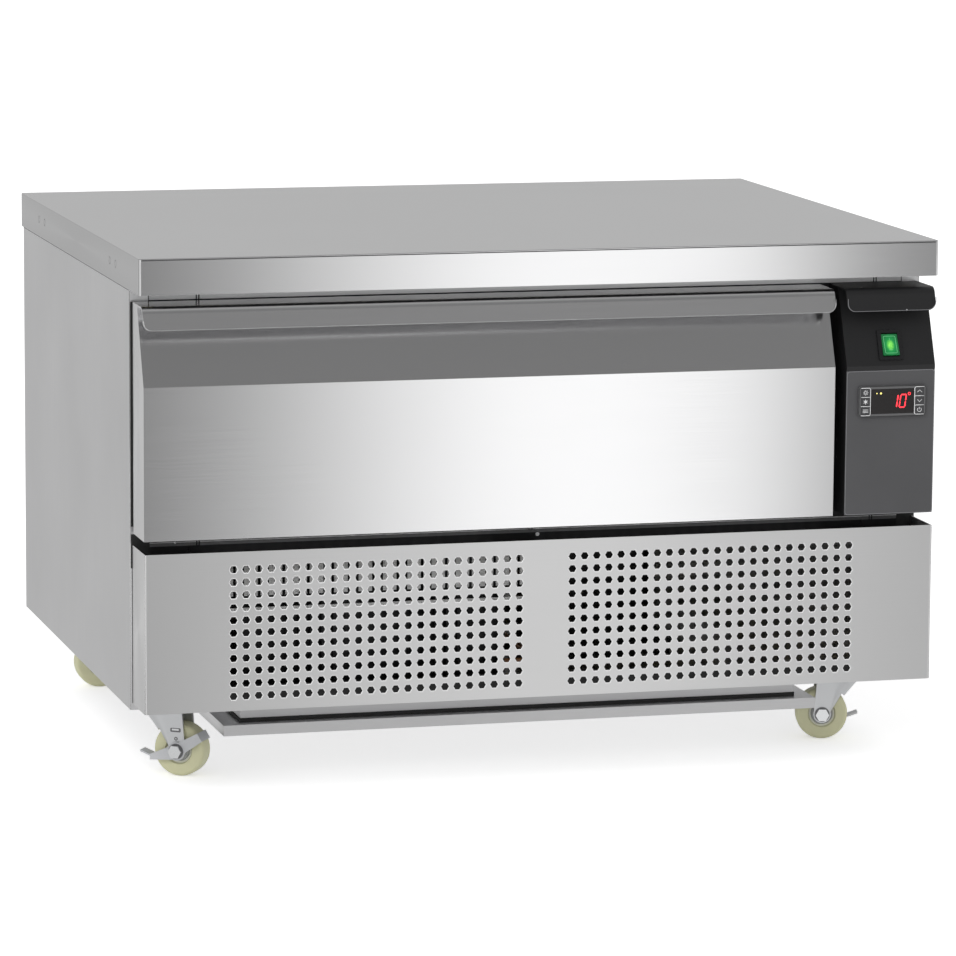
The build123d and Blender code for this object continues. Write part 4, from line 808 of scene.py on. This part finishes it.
def wheel(place):
    name = "castor_wheel_" + place
    middle, axis = wheel_axle(place)
    radius = middle.z
    upper = list(HUB_PROFILE) + [(radius - depth, out) for depth, out in WEB_PROFILE]
    corner = (radius - TREAD_ROUND, WHEEL_HALF - TREAD_ROUND)
    for turn in quarter(TREAD_STEPS):
        upper.append((corner[0] + TREAD_ROUND * sin(turn), corner[1] + TREAD_ROUND * cos(turn)))
    profile = upper + [(r, -a) for r, a in reversed(upper)]
    form = lathe_mesh(profile, middle, axis, WHEEL_SEGMENTS)
    count = len(profile)

    def both_sides(steps):
        return {step for k in steps for step in (k, count - 2 - k)}

    grey = both_sides(GREY_STEPS) | {count - 1}
    pale = both_sides(PALE_STEPS)
    ring = [GREY_FACE if k in grey else PALE_FACE if k in pale else TYRE_FACE for k in range(count)]
    kinds = ring * WHEEL_SEGMENTS
    finishes = ("nylon", "hub_grey", "nylon_pale")
    piece = add_piece("wheel_tyre_" + place, form, "nylon", *finishes, body="wheel_" + place, kinds=kinds)
    edge = piece.modifiers.new("edges", "EDGE_SPLIT")
    edge.split_angle = WHEEL_CREASE
    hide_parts(name)


for castor in CASTORS:
    wheel(castor)


# Worktop: seams of the welded corners with a painted highlight, lines of painted shade under the arrises of the
# top, spot marks of the studs inside
SEAM_RADIUS = 0.0005
SEAM_INSET = 0.0022
SEAM_ENDS = (0.0015, 0.004)  # above the foot, below the top
FRONT_LINE_PLACE = (0.003, 0.0002, 0.0018)  # from the ends, from the front, below the top
FRONT_LINE_RADIUS = 0.0006
SIDE_LINE_PLACE = (0.0004, 0.004, 0.0011)  # from the side, from the ends, below the top
SIDE_LINE_RADIUS = 0.0004
STUD_RADIUS = 0.0045
STUD_RING = ((0.0, 0.0), (0.0005, 0.0004), (0.0011, 0.0004), (0.0016, 0.0))  # in from the radius, off the face
STUD_SINK = 0.0004
STUD_PLACES = (0.122, 0.1535, 0.532, 0.566)  # from the front edge
STUD_HEIGHT = 0.5485


def worktop_marks():
    (x0, y0, z0), (x1, y1, z1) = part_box("worktop")
    end, back, drop = FRONT_LINE_PLACE
    # Painted shade: dark lines under the front and side arrises of the top
    line = tube_mesh([(x0 + end, y0 + back, z1 - drop), (x1 - end, y0 + back, z1 - drop)], FRONT_LINE_RADIUS)
    add_piece("worktop_front_line", line, "worktop_steel", "edge_dark")
    for side, word in SIDES:
        edge = x0 if side < 0 else x1
        inset, end, drop = SIDE_LINE_PLACE
        x = edge - side * inset
        line = tube_mesh([(x, y0 + end, z1 - drop), (x, y1 - end, z1 - drop)], SIDE_LINE_RADIUS)
        add_piece("worktop_side_line_" + word, line, "worktop_steel", "edge_dark")
        # Painted highlight along the seam of the welded corner
        foot, top = SEAM_ENDS
        x = edge - side * SEAM_INSET
        seam = tube_mesh([(x, y0 + SEAM_RADIUS, z0 + foot), (x, y0 + SEAM_RADIUS, z1 - top)], SEAM_RADIUS)
        add_piece("corner_seam_" + word, seam, "worktop_steel", "edge_light")
        ring = [(STUD_RADIUS - inset, out) for inset, out in STUD_RING]
        x = edge - side * STUD_SINK
        studs = [lathe_mesh(ring, (x, y0 + place, STUD_HEIGHT), (side, 0, 0), 20) for place in STUD_PLACES]
        add_piece("stud_marks_" + word, joined(studs), "worktop_steel", "stud_steel")


worktop_marks()


# Black strip of painted shade round the foot of the well, above the bottom cover
SHADE_STRIP_LEVELS = (0.0001, 0.0045)  # above the cover
SHADE_STRIP_DEPTH = 0.0012
WELL_HALF = 0.309
WELL_FRONT = 0.088
WELL_BACK = 0.094


def well_foot_shade():
    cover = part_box("bottom_cover")[1][2]
    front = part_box("worktop")[0][1] + WELL_FRONT
    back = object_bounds()[1][1] - WELL_BACK
    half = WELL_HALF + SHADE_STRIP_DEPTH
    z0, z1 = (cover + level for level in SHADE_STRIP_LEVELS)
    parts = [
        box_mesh((-half, front - SHADE_STRIP_DEPTH, z0), (half, front, z1)),
        box_mesh((-half, back, z0), (half, back + SHADE_STRIP_DEPTH, z1)),
        box_mesh((-half, front, z0), (-WELL_HALF, back, z1)),
        box_mesh((WELL_HALF, front, z0), (half, back, z1)),
    ]
    add_piece("well_foot_shade", joined(parts), "black_rubber", smooth=False)


well_foot_shade()


# Drawer front and control column: painted highlight lines along the edges of the lip, the fold and the lower
# face
LIP_DROP = 0.024
LIP_CORNER = 0.009
LIP_STEPS = 6
LIP_LINE_TOP = 0.010
INCLINE_HEIGHT = 0.0825
LINE_RADIUS = 0.0004
FACE_INSET = 0.0005
FACE_LINE_RADIUS = 0.00045


def front_lines(node, body, slot, finish, name):
    (x0, y0, z0), (x1, _, z1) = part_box(node)
    left, right, y = x0 + LINE_RADIUS, x1 - LINE_RADIUS, y0 + LINE_RADIUS
    corner = z1 - LIP_DROP + LIP_CORNER
    bend = LIP_CORNER - LINE_RADIUS
    turns = quarter(LIP_STEPS)
    lip = [(left, y, z1 - LIP_LINE_TOP)]
    lip += [(x0 + LIP_CORNER - bend * cos(turn), y, corner - bend * sin(turn)) for turn in turns]
    lip += [(x1 - LIP_CORNER + bend * sin(turn), y, corner - bend * cos(turn)) for turn in turns]
    lip.append((right, y, z1 - LIP_LINE_TOP))
    add_piece(name + "_lip_edge", tube_mesh(lip, LINE_RADIUS), slot, finish, body=body)
    fold = z1 - INCLINE_HEIGHT
    y = y0 + FACE_INSET
    line = [(left, y, fold), (right, y, fold)]
    add_piece(name + "_fold_line", tube_mesh(line, LINE_RADIUS), slot, finish, body=body)
    left, right, foot = x0 + FACE_INSET, x1 - FACE_INSET, z0 + FACE_INSET
    line = [(left, y, fold), (left, y, foot), (right, y, foot), (right, y, fold)]
    add_piece(name + "_edge_line", tube_mesh(line, FACE_LINE_RADIUS), slot, finish, body=body)


front_lines("drawer_front", "drawer", "front_steel", "edge_light", "drawer")
front_lines("control_housing", "cabinet", "housing_black", "fascia_edge", "column")


# Rails above and below the drawer, the lower one with a band of painted shade; the plate under the worktop;
# black sheets of painted shade in the gaps and corners at the fronts of the side panels; and the lines of the
# side panels: a painted highlight on the front arris and painted shade under the worktop's edge
NOTCHES = (-0.3615, 0.3834)
NOTCH_WIDTH = 0.0042
NOTCH_PIN = 0.0006
RAIL_SHEET = 0.0004
RAIL_INSET = 0.001
UPPER_RAIL = (0.0115, 0.001)  # below the worktop's underside: foot and top of the light rail
LOWER_LINE = (0.2612, 0.2623)
LOWER_BAND = (0.2578, 0.2608)
PLATE_FRONT = 0.0012
GAP_SIDES = (0.0011, 0.009)  # in from the outer face of the side panel
GAP_SHEET = 0.0003
GAP_FOOT = 0.2800
GAP_DROP = 0.012
CORNER_SIDES = (0.0011, 0.0210)
CORNER_LEVELS = (0.236, 0.2720)
ARRIS_INSET = 0.0004
ARRIS_RADIUS = 0.0005
TOP_LINE_SIDES = (-0.0001, 0.001)
TOP_LINE_ENDS = 0.002
TOP_LINE_DROP = 0.0003


def rails():
    low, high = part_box("front_frame")
    y = low[1]
    half = high[0] - RAIL_INSET
    _, front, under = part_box("worktop")[0]

    def strip(z0, z1):
        cuts = [-half]
        for notch in NOTCHES:
            cuts += [notch - NOTCH_WIDTH / 2, notch + NOTCH_WIDTH / 2]
        cuts.append(half)
        spans = list(zip(cuts[::2], cuts[1::2])) + [(notch - NOTCH_PIN, notch + NOTCH_PIN) for notch in NOTCHES]
        return joined([box_mesh((x0, y - RAIL_SHEET, z0), (x1, y, z1)) for x0, x1 in spans])

    upper = strip(*(under - drop for drop in UPPER_RAIL))
    add_piece("upper_rail", upper, "front_steel", "rail_steel", smooth=False)
    add_piece("lower_rail_line", strip(*LOWER_LINE), "front_steel", "rail_steel", smooth=False)
    # Band of painted shade below the light line of the lower rail
    add_piece("lower_rail_band", strip(*LOWER_BAND), "frame_dark", "rail_dim", smooth=False)
    plate = box_mesh((-half, front + PLATE_FRONT, under), (half, y, under + RAIL_SHEET))
    add_piece("worktop_under_plate", plate, "worktop_steel", "rail_steel", smooth=False)
    for side, word in SIDES:
        low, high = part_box("side_panel_" + word)
        edge = low[0] if side < 0 else high[0]
        front = low[1]

        def across(insets):
            return sorted(edge - side * inset for inset in insets)

        # Black sheets of painted shade in the gap and the corner at the panel's front
        x0, x1 = across(GAP_SIDES)
        gap = box_mesh((x0, front - GAP_SHEET, GAP_FOOT), (x1, front, high[2] - GAP_DROP))
        add_piece("dark_gap_" + word, gap, "black_rubber", smooth=False)
        x0, x1 = across(CORNER_SIDES)
        corner = box_mesh((x0, front - RAIL_SHEET, CORNER_LEVELS[0]), (x1, front, CORNER_LEVELS[1]))
        add_piece("dark_corner_" + word, corner, "black_rubber", smooth=False)
        # Painted highlight along the panel's front arris
        arris = (edge - side * ARRIS_INSET, front + ARRIS_INSET)
        line = tube_mesh([(*arris, low[2] + ARRIS_RADIUS), (*arris, high[2] - ARRIS_RADIUS)], ARRIS_RADIUS)
        add_piece("panel_arris_" + word, line, "worktop_steel", "edge_light")
        # Line of painted shade under the worktop's side edge
        x0, x1 = across(TOP_LINE_SIDES)
        y0, y1 = front + TOP_LINE_ENDS, high[1] - TOP_LINE_ENDS
        line = box_mesh((x0, y0, high[2] - TOP_LINE_DROP), (x1, y1, under))
        add_piece("panel_top_line_" + word, line, "black_rubber", smooth=False)


rails()


# Small screws: name, place, direction that the head looks in, radius of the head
SCREWS = (
    ("column_side_high", (0.3313, -0.3138, 0.3522), (-1, 0, 0), 0.0009),
    ("column_side_low", (0.3313, -0.3148, 0.3331), (-1, 0, 0), 0.0009),
    ("column_top", (0.3522, -0.3259, 0.5170), (0, 0, 1), 0.0010),
    ("column_lip", (0.3978, -0.34295, 0.4940), (0, -1, 0), 0.0009),
    ("lower_rail_left", (-0.3859, -0.2809, 0.2617), (0, -1, 0), 0.0014),
    ("lower_rail_middle", (0.0080, -0.2809, 0.2560), (0, -1, 0), 0.0024),
)
SCREW_HEAD = ((1.0, 0.0), (0.9, 0.25), (0.5, 0.45))  # radius and height, as shares of the head's radius
SCREW_TOP = 0.5
SCREW_MIDDLE = 0.00002  # where the turned profile starts and ends, just off the axis


def small_screws():
    """Round heads, raised a little off the face that they hold."""
    for name, place, axis, radius in SCREWS:
        profile = [(radius * out, radius * up) for out, up in SCREW_HEAD]
        profile = [(SCREW_MIDDLE, 0.0), *profile, (SCREW_MIDDLE, radius * SCREW_TOP)]
        add_piece("screw_" + name, lathe_mesh(profile, place, axis, 20), "zinc", "bright_zinc")


small_screws()


# Behind the grille: slotted guard on the condenser's face, pale white as painted light for the lit tops of the
# fins; dark strip of painted shade on the front lip of the chassis
GUARD_GAP_X = -0.3128  # middle of the gap between its first two bars
GUARD_PITCH = 0.00893
GUARD_SLOT = 0.0032
GUARD_BARS = 37
GUARD_SHEET = 0.0010
GUARD_LEVELS = (0.1935, 0.2310, 0.2400)  # foot and top of the bars, top of the sheet
GUARD_RAIL = (0.1725, 0.1808)
STRIP_FOOT = 0.088
STRIP_INSET = 0.002
STRIP_RISE = 0.0006


def behind_the_grille():
    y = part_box("condenser_coil")[0][1]
    foot, rail, top = GUARD_LEVELS
    start = GUARD_GAP_X - GUARD_PITCH + GUARD_SLOT / 2
    end = start + GUARD_BARS * GUARD_PITCH - GUARD_SLOT
    parts = [
        box_mesh((start, y - GUARD_SHEET, rail), (end, y, top)),
        box_mesh((start, y - GUARD_SHEET, GUARD_RAIL[0]), (end, y, GUARD_RAIL[1])),
    ]
    for k in range(GUARD_BARS):
        x = start + k * GUARD_PITCH
        parts.append(box_mesh((x, y - GUARD_SHEET, foot), (x + GUARD_PITCH - GUARD_SLOT, y, rail)))
    add_piece("condenser_guard", joined(parts), "front_steel", "guard_pale", smooth=False)
    # Black strip of painted shade on the chassis's front lip, darkening what shows through the grille's holes
    (x0, y, _), (x1, _, z1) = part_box("base_chassis")
    strip = box_mesh((x0 + STRIP_INSET, y - GUARD_SHEET, STRIP_FOOT), (x1 - STRIP_INSET, y, z1 + STRIP_RISE))
    add_piece("chassis_shade_strip", strip, "black_rubber", smooth=False)


behind_the_grille()


# Washers under the heads and nuts of the axle bolts, dark as painted shade round them
WASHER = (0.0046, 0.0084, 0.0004)  # bore, radius, thickness
FORK_HALF = 0.0160
LEVER_HALF = 0.0188


def washers():
    bore, radius, thick = WASHER
    for place in CASTORS:
        castor = "castor_" + place
        middle, axis = wheel_axle(place)
        lever_side = LEVER_HALF if place in BRAKED_CASTORS else FORK_HALF
        parts = []
        for sign, start in ((1, lever_side), (-1, FORK_HALF)):
            profile = [(bore, start), (radius, start), (radius, start + thick), (bore, start + thick)]
            parts.append(lathe_mesh(profile, middle, axis * sign, 32))
        add_piece("axle_washers_" + place, joined(parts), "zinc", "rail_dim", smooth=False, body=castor)


washers()


# Stamped slot and hole in the leg of each braked fork, on the lever's side, above the axle, drawn as thin
# plates dark with painted shade
SLOT_SIZE = (0.0118, 0.0044, 0.0012)  # width, height, radius of its corners
SLOT_PLACE = (-0.0015, 0.0225)
TAB_SIZE = (0.0080, 0.0018, 0.0006)
TAB_RISE = 0.0005
HOLE_PLACE = (-0.0010, 0.0132)
HOLE_RING = (0.0009, 0.0020)  # bore, radius
MARK_SHEET = 0.00025


def fork_marks():
    up = Vector((0, 0, 1))
    bore, radius = HOLE_RING
    ring = [(bore, 0.0), (radius, 0.0), (radius, MARK_SHEET), (bore, MARK_SHEET)]
    slot = rounded_outline(*SLOT_SIZE, 4, SLOT_PLACE)
    tab = rounded_outline(*TAB_SIZE, 3, (SLOT_PLACE[0], SLOT_PLACE[1] + TAB_RISE))
    for place in BRAKED_CASTORS:
        middle, out = wheel_axle(place)
        along = up.cross(out)
        face = middle + out * FORK_HALF
        hole = lathe_mesh(ring, face + along * HOLE_PLACE[0] + up * HOLE_PLACE[1], out, 20)
        # Dark plates of painted shade for the stamped slot and hole
        marks = joined([prism_mesh(slot, face, along, up, MARK_SHEET), hole])
        add_piece("fork_marks_" + place, marks, "zinc", "rail_dim", smooth=False, body="castor_" + place)
        plate = prism_mesh(tab, face, along, up, 2 * MARK_SHEET)
        add_piece("fork_tab_" + place, plate, "zinc", "bright_zinc", smooth=False, body="castor_" + place)


fork_marks()


# Grille: painted highlight line along its upper edge and its two folds, painted shade line where it meets the
# side panels
FOLD_LINE_INSET = 0.0006
FOLD_LINE_ENDS = 0.0004
FOLD_LINE_RADIUS = 0.0005
BACK_LINE_PLACE = (0.0002, 0.0007)  # from the side, from the back
BACK_LINE_ENDS = 0.0005
BACK_LINE_RADIUS = 0.0006


def grille_lines():
    (x0, y0, z0), (x1, y1, z1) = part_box("grille_panel")
    left, right, y = x0 + FOLD_LINE_INSET, x1 - FOLD_LINE_INSET, y0 + FOLD_LINE_INSET
    foot, top = z0 + FOLD_LINE_ENDS, z1 - FOLD_LINE_ENDS
    line = tube_mesh([(left, y, foot), (left, y, top), (right, y, top), (right, y, foot)], FOLD_LINE_RADIUS)
    add_piece("grille_edge_line", line, "front_steel", "edge_light")
    # Painted shade line where the grille meets the side panels
    inset, back = BACK_LINE_PLACE
    parts = [
        tube_mesh([(x, y1 - back, z0 + BACK_LINE_ENDS), (x, y1 - back, z1 - BACK_LINE_ENDS)], BACK_LINE_RADIUS)
        for x in (x0 + inset, x1 - inset)
    ]
    add_piece("grille_back_line", joined(parts), "front_steel", "edge_dark")


grille_lines()


# Rocker: raised frame and two marks moulded in its lens
ROCKER_FACE = ((-0.34326, 0.44571), (-0.33124, 0.46676))  # y and z of its foot and top
ROCKER_INSET = 0.0024
ROCKER_CORNER = 0.0012
ROCKER_WIRE = 0.0003
ROCKER_MARKS = (((-0.0022, -0.0060), (0.0022, -0.0060)), ((0.0, 0.0050), (0.0, 0.0078)))


def rocker_frame():
    low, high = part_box("power_rocker")
    (y0, z0), (y1, z1) = ROCKER_FACE
    up = Vector((0, y1 - y0, z1 - z0))
    height = up.length
    up.normalize()
    across = Vector((1, 0, 0))
    middle = Vector(((low[0] + high[0]) / 2, y0, z0)) + up * (height / 2)
    width = high[0] - low[0]
    frame_outline = rounded_outline(width - 2 * ROCKER_INSET, height - 2 * ROCKER_INSET, ROCKER_CORNER, 4)

    def wire(points, closed):
        return tube_mesh([middle + across * x + up * z for x, z in points], ROCKER_WIRE, 6, closed)

    parts = [wire(frame_outline, True)] + [wire(mark, False) for mark in ROCKER_MARKS]
    add_piece("rocker_frame", joined(parts), "rocker_green", "rocker_line", body="power_rocker")


rocker_frame()


# Fascia: painted highlight line round its edge
RIM_CORNER = 0.003
FASCIA_RIM = (0.0006, 0.0001)  # in from the edge, back from the front
CONTROLLER_RIM = (0.0004, 0.0002)


def rim_line(node, inset, back, sides):
    """Thin line round the front of a plate, along its edge."""
    (x0, y0, z0), (x1, _, z1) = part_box(node)
    middle = ((x0 + x1) / 2, (z0 + z1) / 2)
    outline = rounded_outline(x1 - x0 - 2 * inset, z1 - z0 - 2 * inset, RIM_CORNER, 5, middle)
    return tube_mesh([(x, y0 + back, z) for x, z in outline], LINE_RADIUS, sides, True)


add_piece("fascia_line", rim_line("control_fascia", *FASCIA_RIM, 8), "fascia_grey", "fascia_edge")


# Controller: lit digits and two small lamps, raised outlines round the keys, caps and symbols of the keys
SEGMENT_LENGTH = 0.0068
SEGMENT_WIDTH = 0.0013
SEGMENT_GAP = 0.0003
SEGMENT_DEPTH = 0.0001
# Place across the digit and up it, in half digits, and whether the bar stands
SEGMENTS = {
    "a": (0.0, 1.0, 0), "b": (0.5, 0.5, 1), "c": (0.5, -0.5, 1), "d": (0.0, -1.0, 0),
    "e": (-0.5, -0.5, 1), "f": (-0.5, 0.5, 1),
}
DIGIT_WIDTH = 0.92  # in segments
DIGIT_LEAN = 0.14
DIGITS = ((0.548, "bc"), (0.738, "abcdef"))  # share across the window, and segments, of a one and a nought
DEGREE_PLACE = (0.885, 1.12)  # share across the window, height in segments
DEGREE_RADIUS = 0.0013
DEGREE_WIRE = 0.0004
LAMPS = ((0.138, 0.0007), (0.232, 0.0011))  # share across the window, radius
LAMP_HEIGHT = 1.28  # in segments


def raised(outline, front):
    """A thin plate of the outline on the display's front."""
    return prism_mesh(outline, (0, front, 0), (1, 0, 0), (0, 0, 1), SEGMENT_DEPTH)


def segment(letter, centre, front):
    """One bar of a digit, with pointed ends and the digit's lean."""
    across, level, upright = SEGMENTS[letter]
    half = SEGMENT_LENGTH / 2 - SEGMENT_GAP
    tip = SEGMENT_WIDTH / 2
    flat = half - tip
    outline = [(-half, 0), (-flat, tip), (flat, tip), (half, 0), (flat, -tip), (-flat, -tip)]
    placed = []
    for u, v in outline:
        if upright:
            u, v = -v, u
        x = u + across * SEGMENT_LENGTH * DIGIT_WIDTH
        z = v + level * SEGMENT_LENGTH
        placed.append((centre[0] + x + z * DIGIT_LEAN, centre[1] + z))
    return raised(placed, front)


def display():
    (x0, front, z0), (x1, _, z1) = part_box("display_window")
    middle_z = (z0 + z1) / 2

    def place(share, height):
        return (x0 + (x1 - x0) * share, middle_z + SEGMENT_LENGTH * height)

    lit = [segment(letter, place(share, 0.0), front) for share, letters in DIGITS for letter in letters]
    degree = [(x, front, z) for x, z in circle_outline(DEGREE_RADIUS, 14, place(*DEGREE_PLACE))]
    lit.append(tube_mesh(degree, DEGREE_WIRE, 6, True))
    add_piece("display_digits", joined(lit), "display_dark", "segment_red", smooth=False)
    lamps = [raised(circle_outline(radius, 12, place(share, LAMP_HEIGHT)), front) for share, radius in LAMPS]
    add_piece("display_lamps", joined(lamps), "display_dark", "led_amber", smooth=False)


display()


KEY_GROUPS = (
    (1, "left", ("key_light", "key_defrost", "key_set")), (-1, "right", ("key_up", "key_down", "key_standby")),
)
OUTLINE_RADIUS = 0.0004
OUTLINE_DEPTH = 0.0003
OUTLINE_GAP = 0.0005
OUTLINE_CORNER = 0.0018
OUTLINE_STEPS = 4


def key_outlines():
    """Raised line round three sides of each group of keys, with a bar between each two keys."""
    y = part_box("controller_body")[0][1] - OUTLINE_DEPTH
    turns = quarter(OUTLINE_STEPS)
    bends = [(OUTLINE_CORNER * (1 - sin(turn)), OUTLINE_CORNER * (1 - cos(turn))) for turn in turns]
    for side, word, names in KEY_GROUPS:
        boxes = [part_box(name) for name in names]
        outer, inner = sorted((boxes[0][0][0], boxes[0][1][0]), reverse=side < 0)
        inner += side * OUTLINE_GAP
        top = boxes[0][1][2] + OUTLINE_GAP
        foot = boxes[2][0][2] - OUTLINE_GAP
        points = [(outer, y, top)]
        points += [(inner - side * inwards, y, top - down) for inwards, down in bends]
        points += [(inner - side * inwards, y, foot + up) for up, inwards in bends]
        points.append((outer, y, foot))
        parts = [tube_mesh(points, OUTLINE_RADIUS, 6)]
        for upper, lower in zip(boxes, boxes[1:]):
            level = (upper[0][2] + lower[1][2]) / 2
            parts.append(tube_mesh([(outer, y, level), (inner, y, level)], OUTLINE_RADIUS, 6))
        add_piece("key_outline_" + word, joined(parts), "key_grey", "mark_pale")
    rim = rim_line("controller_body", *CONTROLLER_RIM, 6)
    add_piece("controller_rim", rim, "controller_black", "bezel_rim")


key_outlines()


KEY_ROUND = 0.0012
KEY_CHAMFER = 0.0004
KEY_BACK = 0.0001  # clear of the pocket's floor when pressed
SYMBOL_RADIUS = 0.00032
SYMBOL_RISE = 0.8  # share of that radius that stands out of the cap
SUN_DISC = 0.0014
SUN_RAYS = (0.0020, 0.0029)
CRYSTAL_ARM = 0.0027
CRYSTAL_RING = 0.0013
BAR_HALF = 0.0031
BAR_LEVELS = (-0.0014, 0.0, 0.0014)
ARROW = (0.0026, 0.0010, 0.0014)  # half its width, depth of its feet, height of its point
STANDBY_RING = 0.0022
STANDBY_TURNS = (130, 280)  # degrees: start and length of its open ring
STANDBY_BAR = (0.0003, 0.0028)


def key_cap(name, low, high):
    """Moulded key cap with round corners and a chamfered rim."""
    middle = ((low[0] + high[0]) / 2, (low[2] + high[2]) / 2)
    width = high[0] - low[0]
    height = high[2] - low[2]
    front = low[1] + SYMBOL_RADIUS * SYMBOL_RISE
    verts = []
    for depth, inset in ((high[1] - KEY_BACK, 0.0), (front + KEY_CHAMFER, 0.0), (front, KEY_CHAMFER)):
        outline = rounded_outline(width - 2 * inset, height - 2 * inset, KEY_ROUND - inset, 4, middle)
        verts += [(x, depth, z) for x, z in outline]
    count = len(verts) // 3
    faces = [tuple(range(count)), tuple(range(2 * count, 3 * count))]
    for ring in (0, count):
        for k in range(count):
            n = (k + 1) % count
            faces.append((ring + k, ring + n, ring + count + n, ring + count + k))
    cap = add_piece(name + "_cap", (verts, faces), "key_grey", "key_grey", smooth=False, body=name)
    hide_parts(name)


def polar(radius, turn):
    return (radius * cos(turn), radius * sin(turn))


def symbol(name):
    """Strokes of a key's symbol, and whether each is closed.

    They are a sun, a snow crystal, bars, an arrow up, an arrow down and a standby mark."""
    if name == "key_light":
        rays = [([polar(radius, pi / 4 * k) for radius in SUN_RAYS], False) for k in range(8)]
        return [(circle_outline(SUN_DISC, 14), True), *rays]
    if name == "key_defrost":
        ends = (-CRYSTAL_ARM, CRYSTAL_ARM)
        arms = [([polar(radius, pi / 3 * k + pi / 6) for radius in ends], False) for k in range(3)]
        return [*arms, (circle_outline(CRYSTAL_RING, 12), True)]
    if name == "key_set":
        return [([(-BAR_HALF, level), (BAR_HALF, level)], False) for level in BAR_LEVELS]
    if name in ("key_up", "key_down"):
        way = 1 if name == "key_up" else -1
        half, foot, point = ARROW
        return [([(-half, -way * foot), (0.0, way * point), (half, -way * foot)], False)]
    start, length = STANDBY_TURNS
    ring = [polar(STANDBY_RING, radians(start + length * k / 12)) for k in range(13)]
    return [(ring, False), ([(0.0, z) for z in STANDBY_BAR], False)]


def keys():
    for _, _, names in KEY_GROUPS:
        for name in names:
            low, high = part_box(name)
            key_cap(name, low, high)
            y = low[1] + SYMBOL_RADIUS
            cx = (low[0] + high[0]) / 2
            cz = (low[2] + high[2]) / 2
            strokes = [
                tube_mesh([(cx + x, y, cz + z) for x, z in points], SYMBOL_RADIUS, 6, closed)
                for points, closed in symbol(name)
            ]
            add_piece(name + "_symbol", joined(strokes), "key_grey", "mark_pale", body=name)


keys()
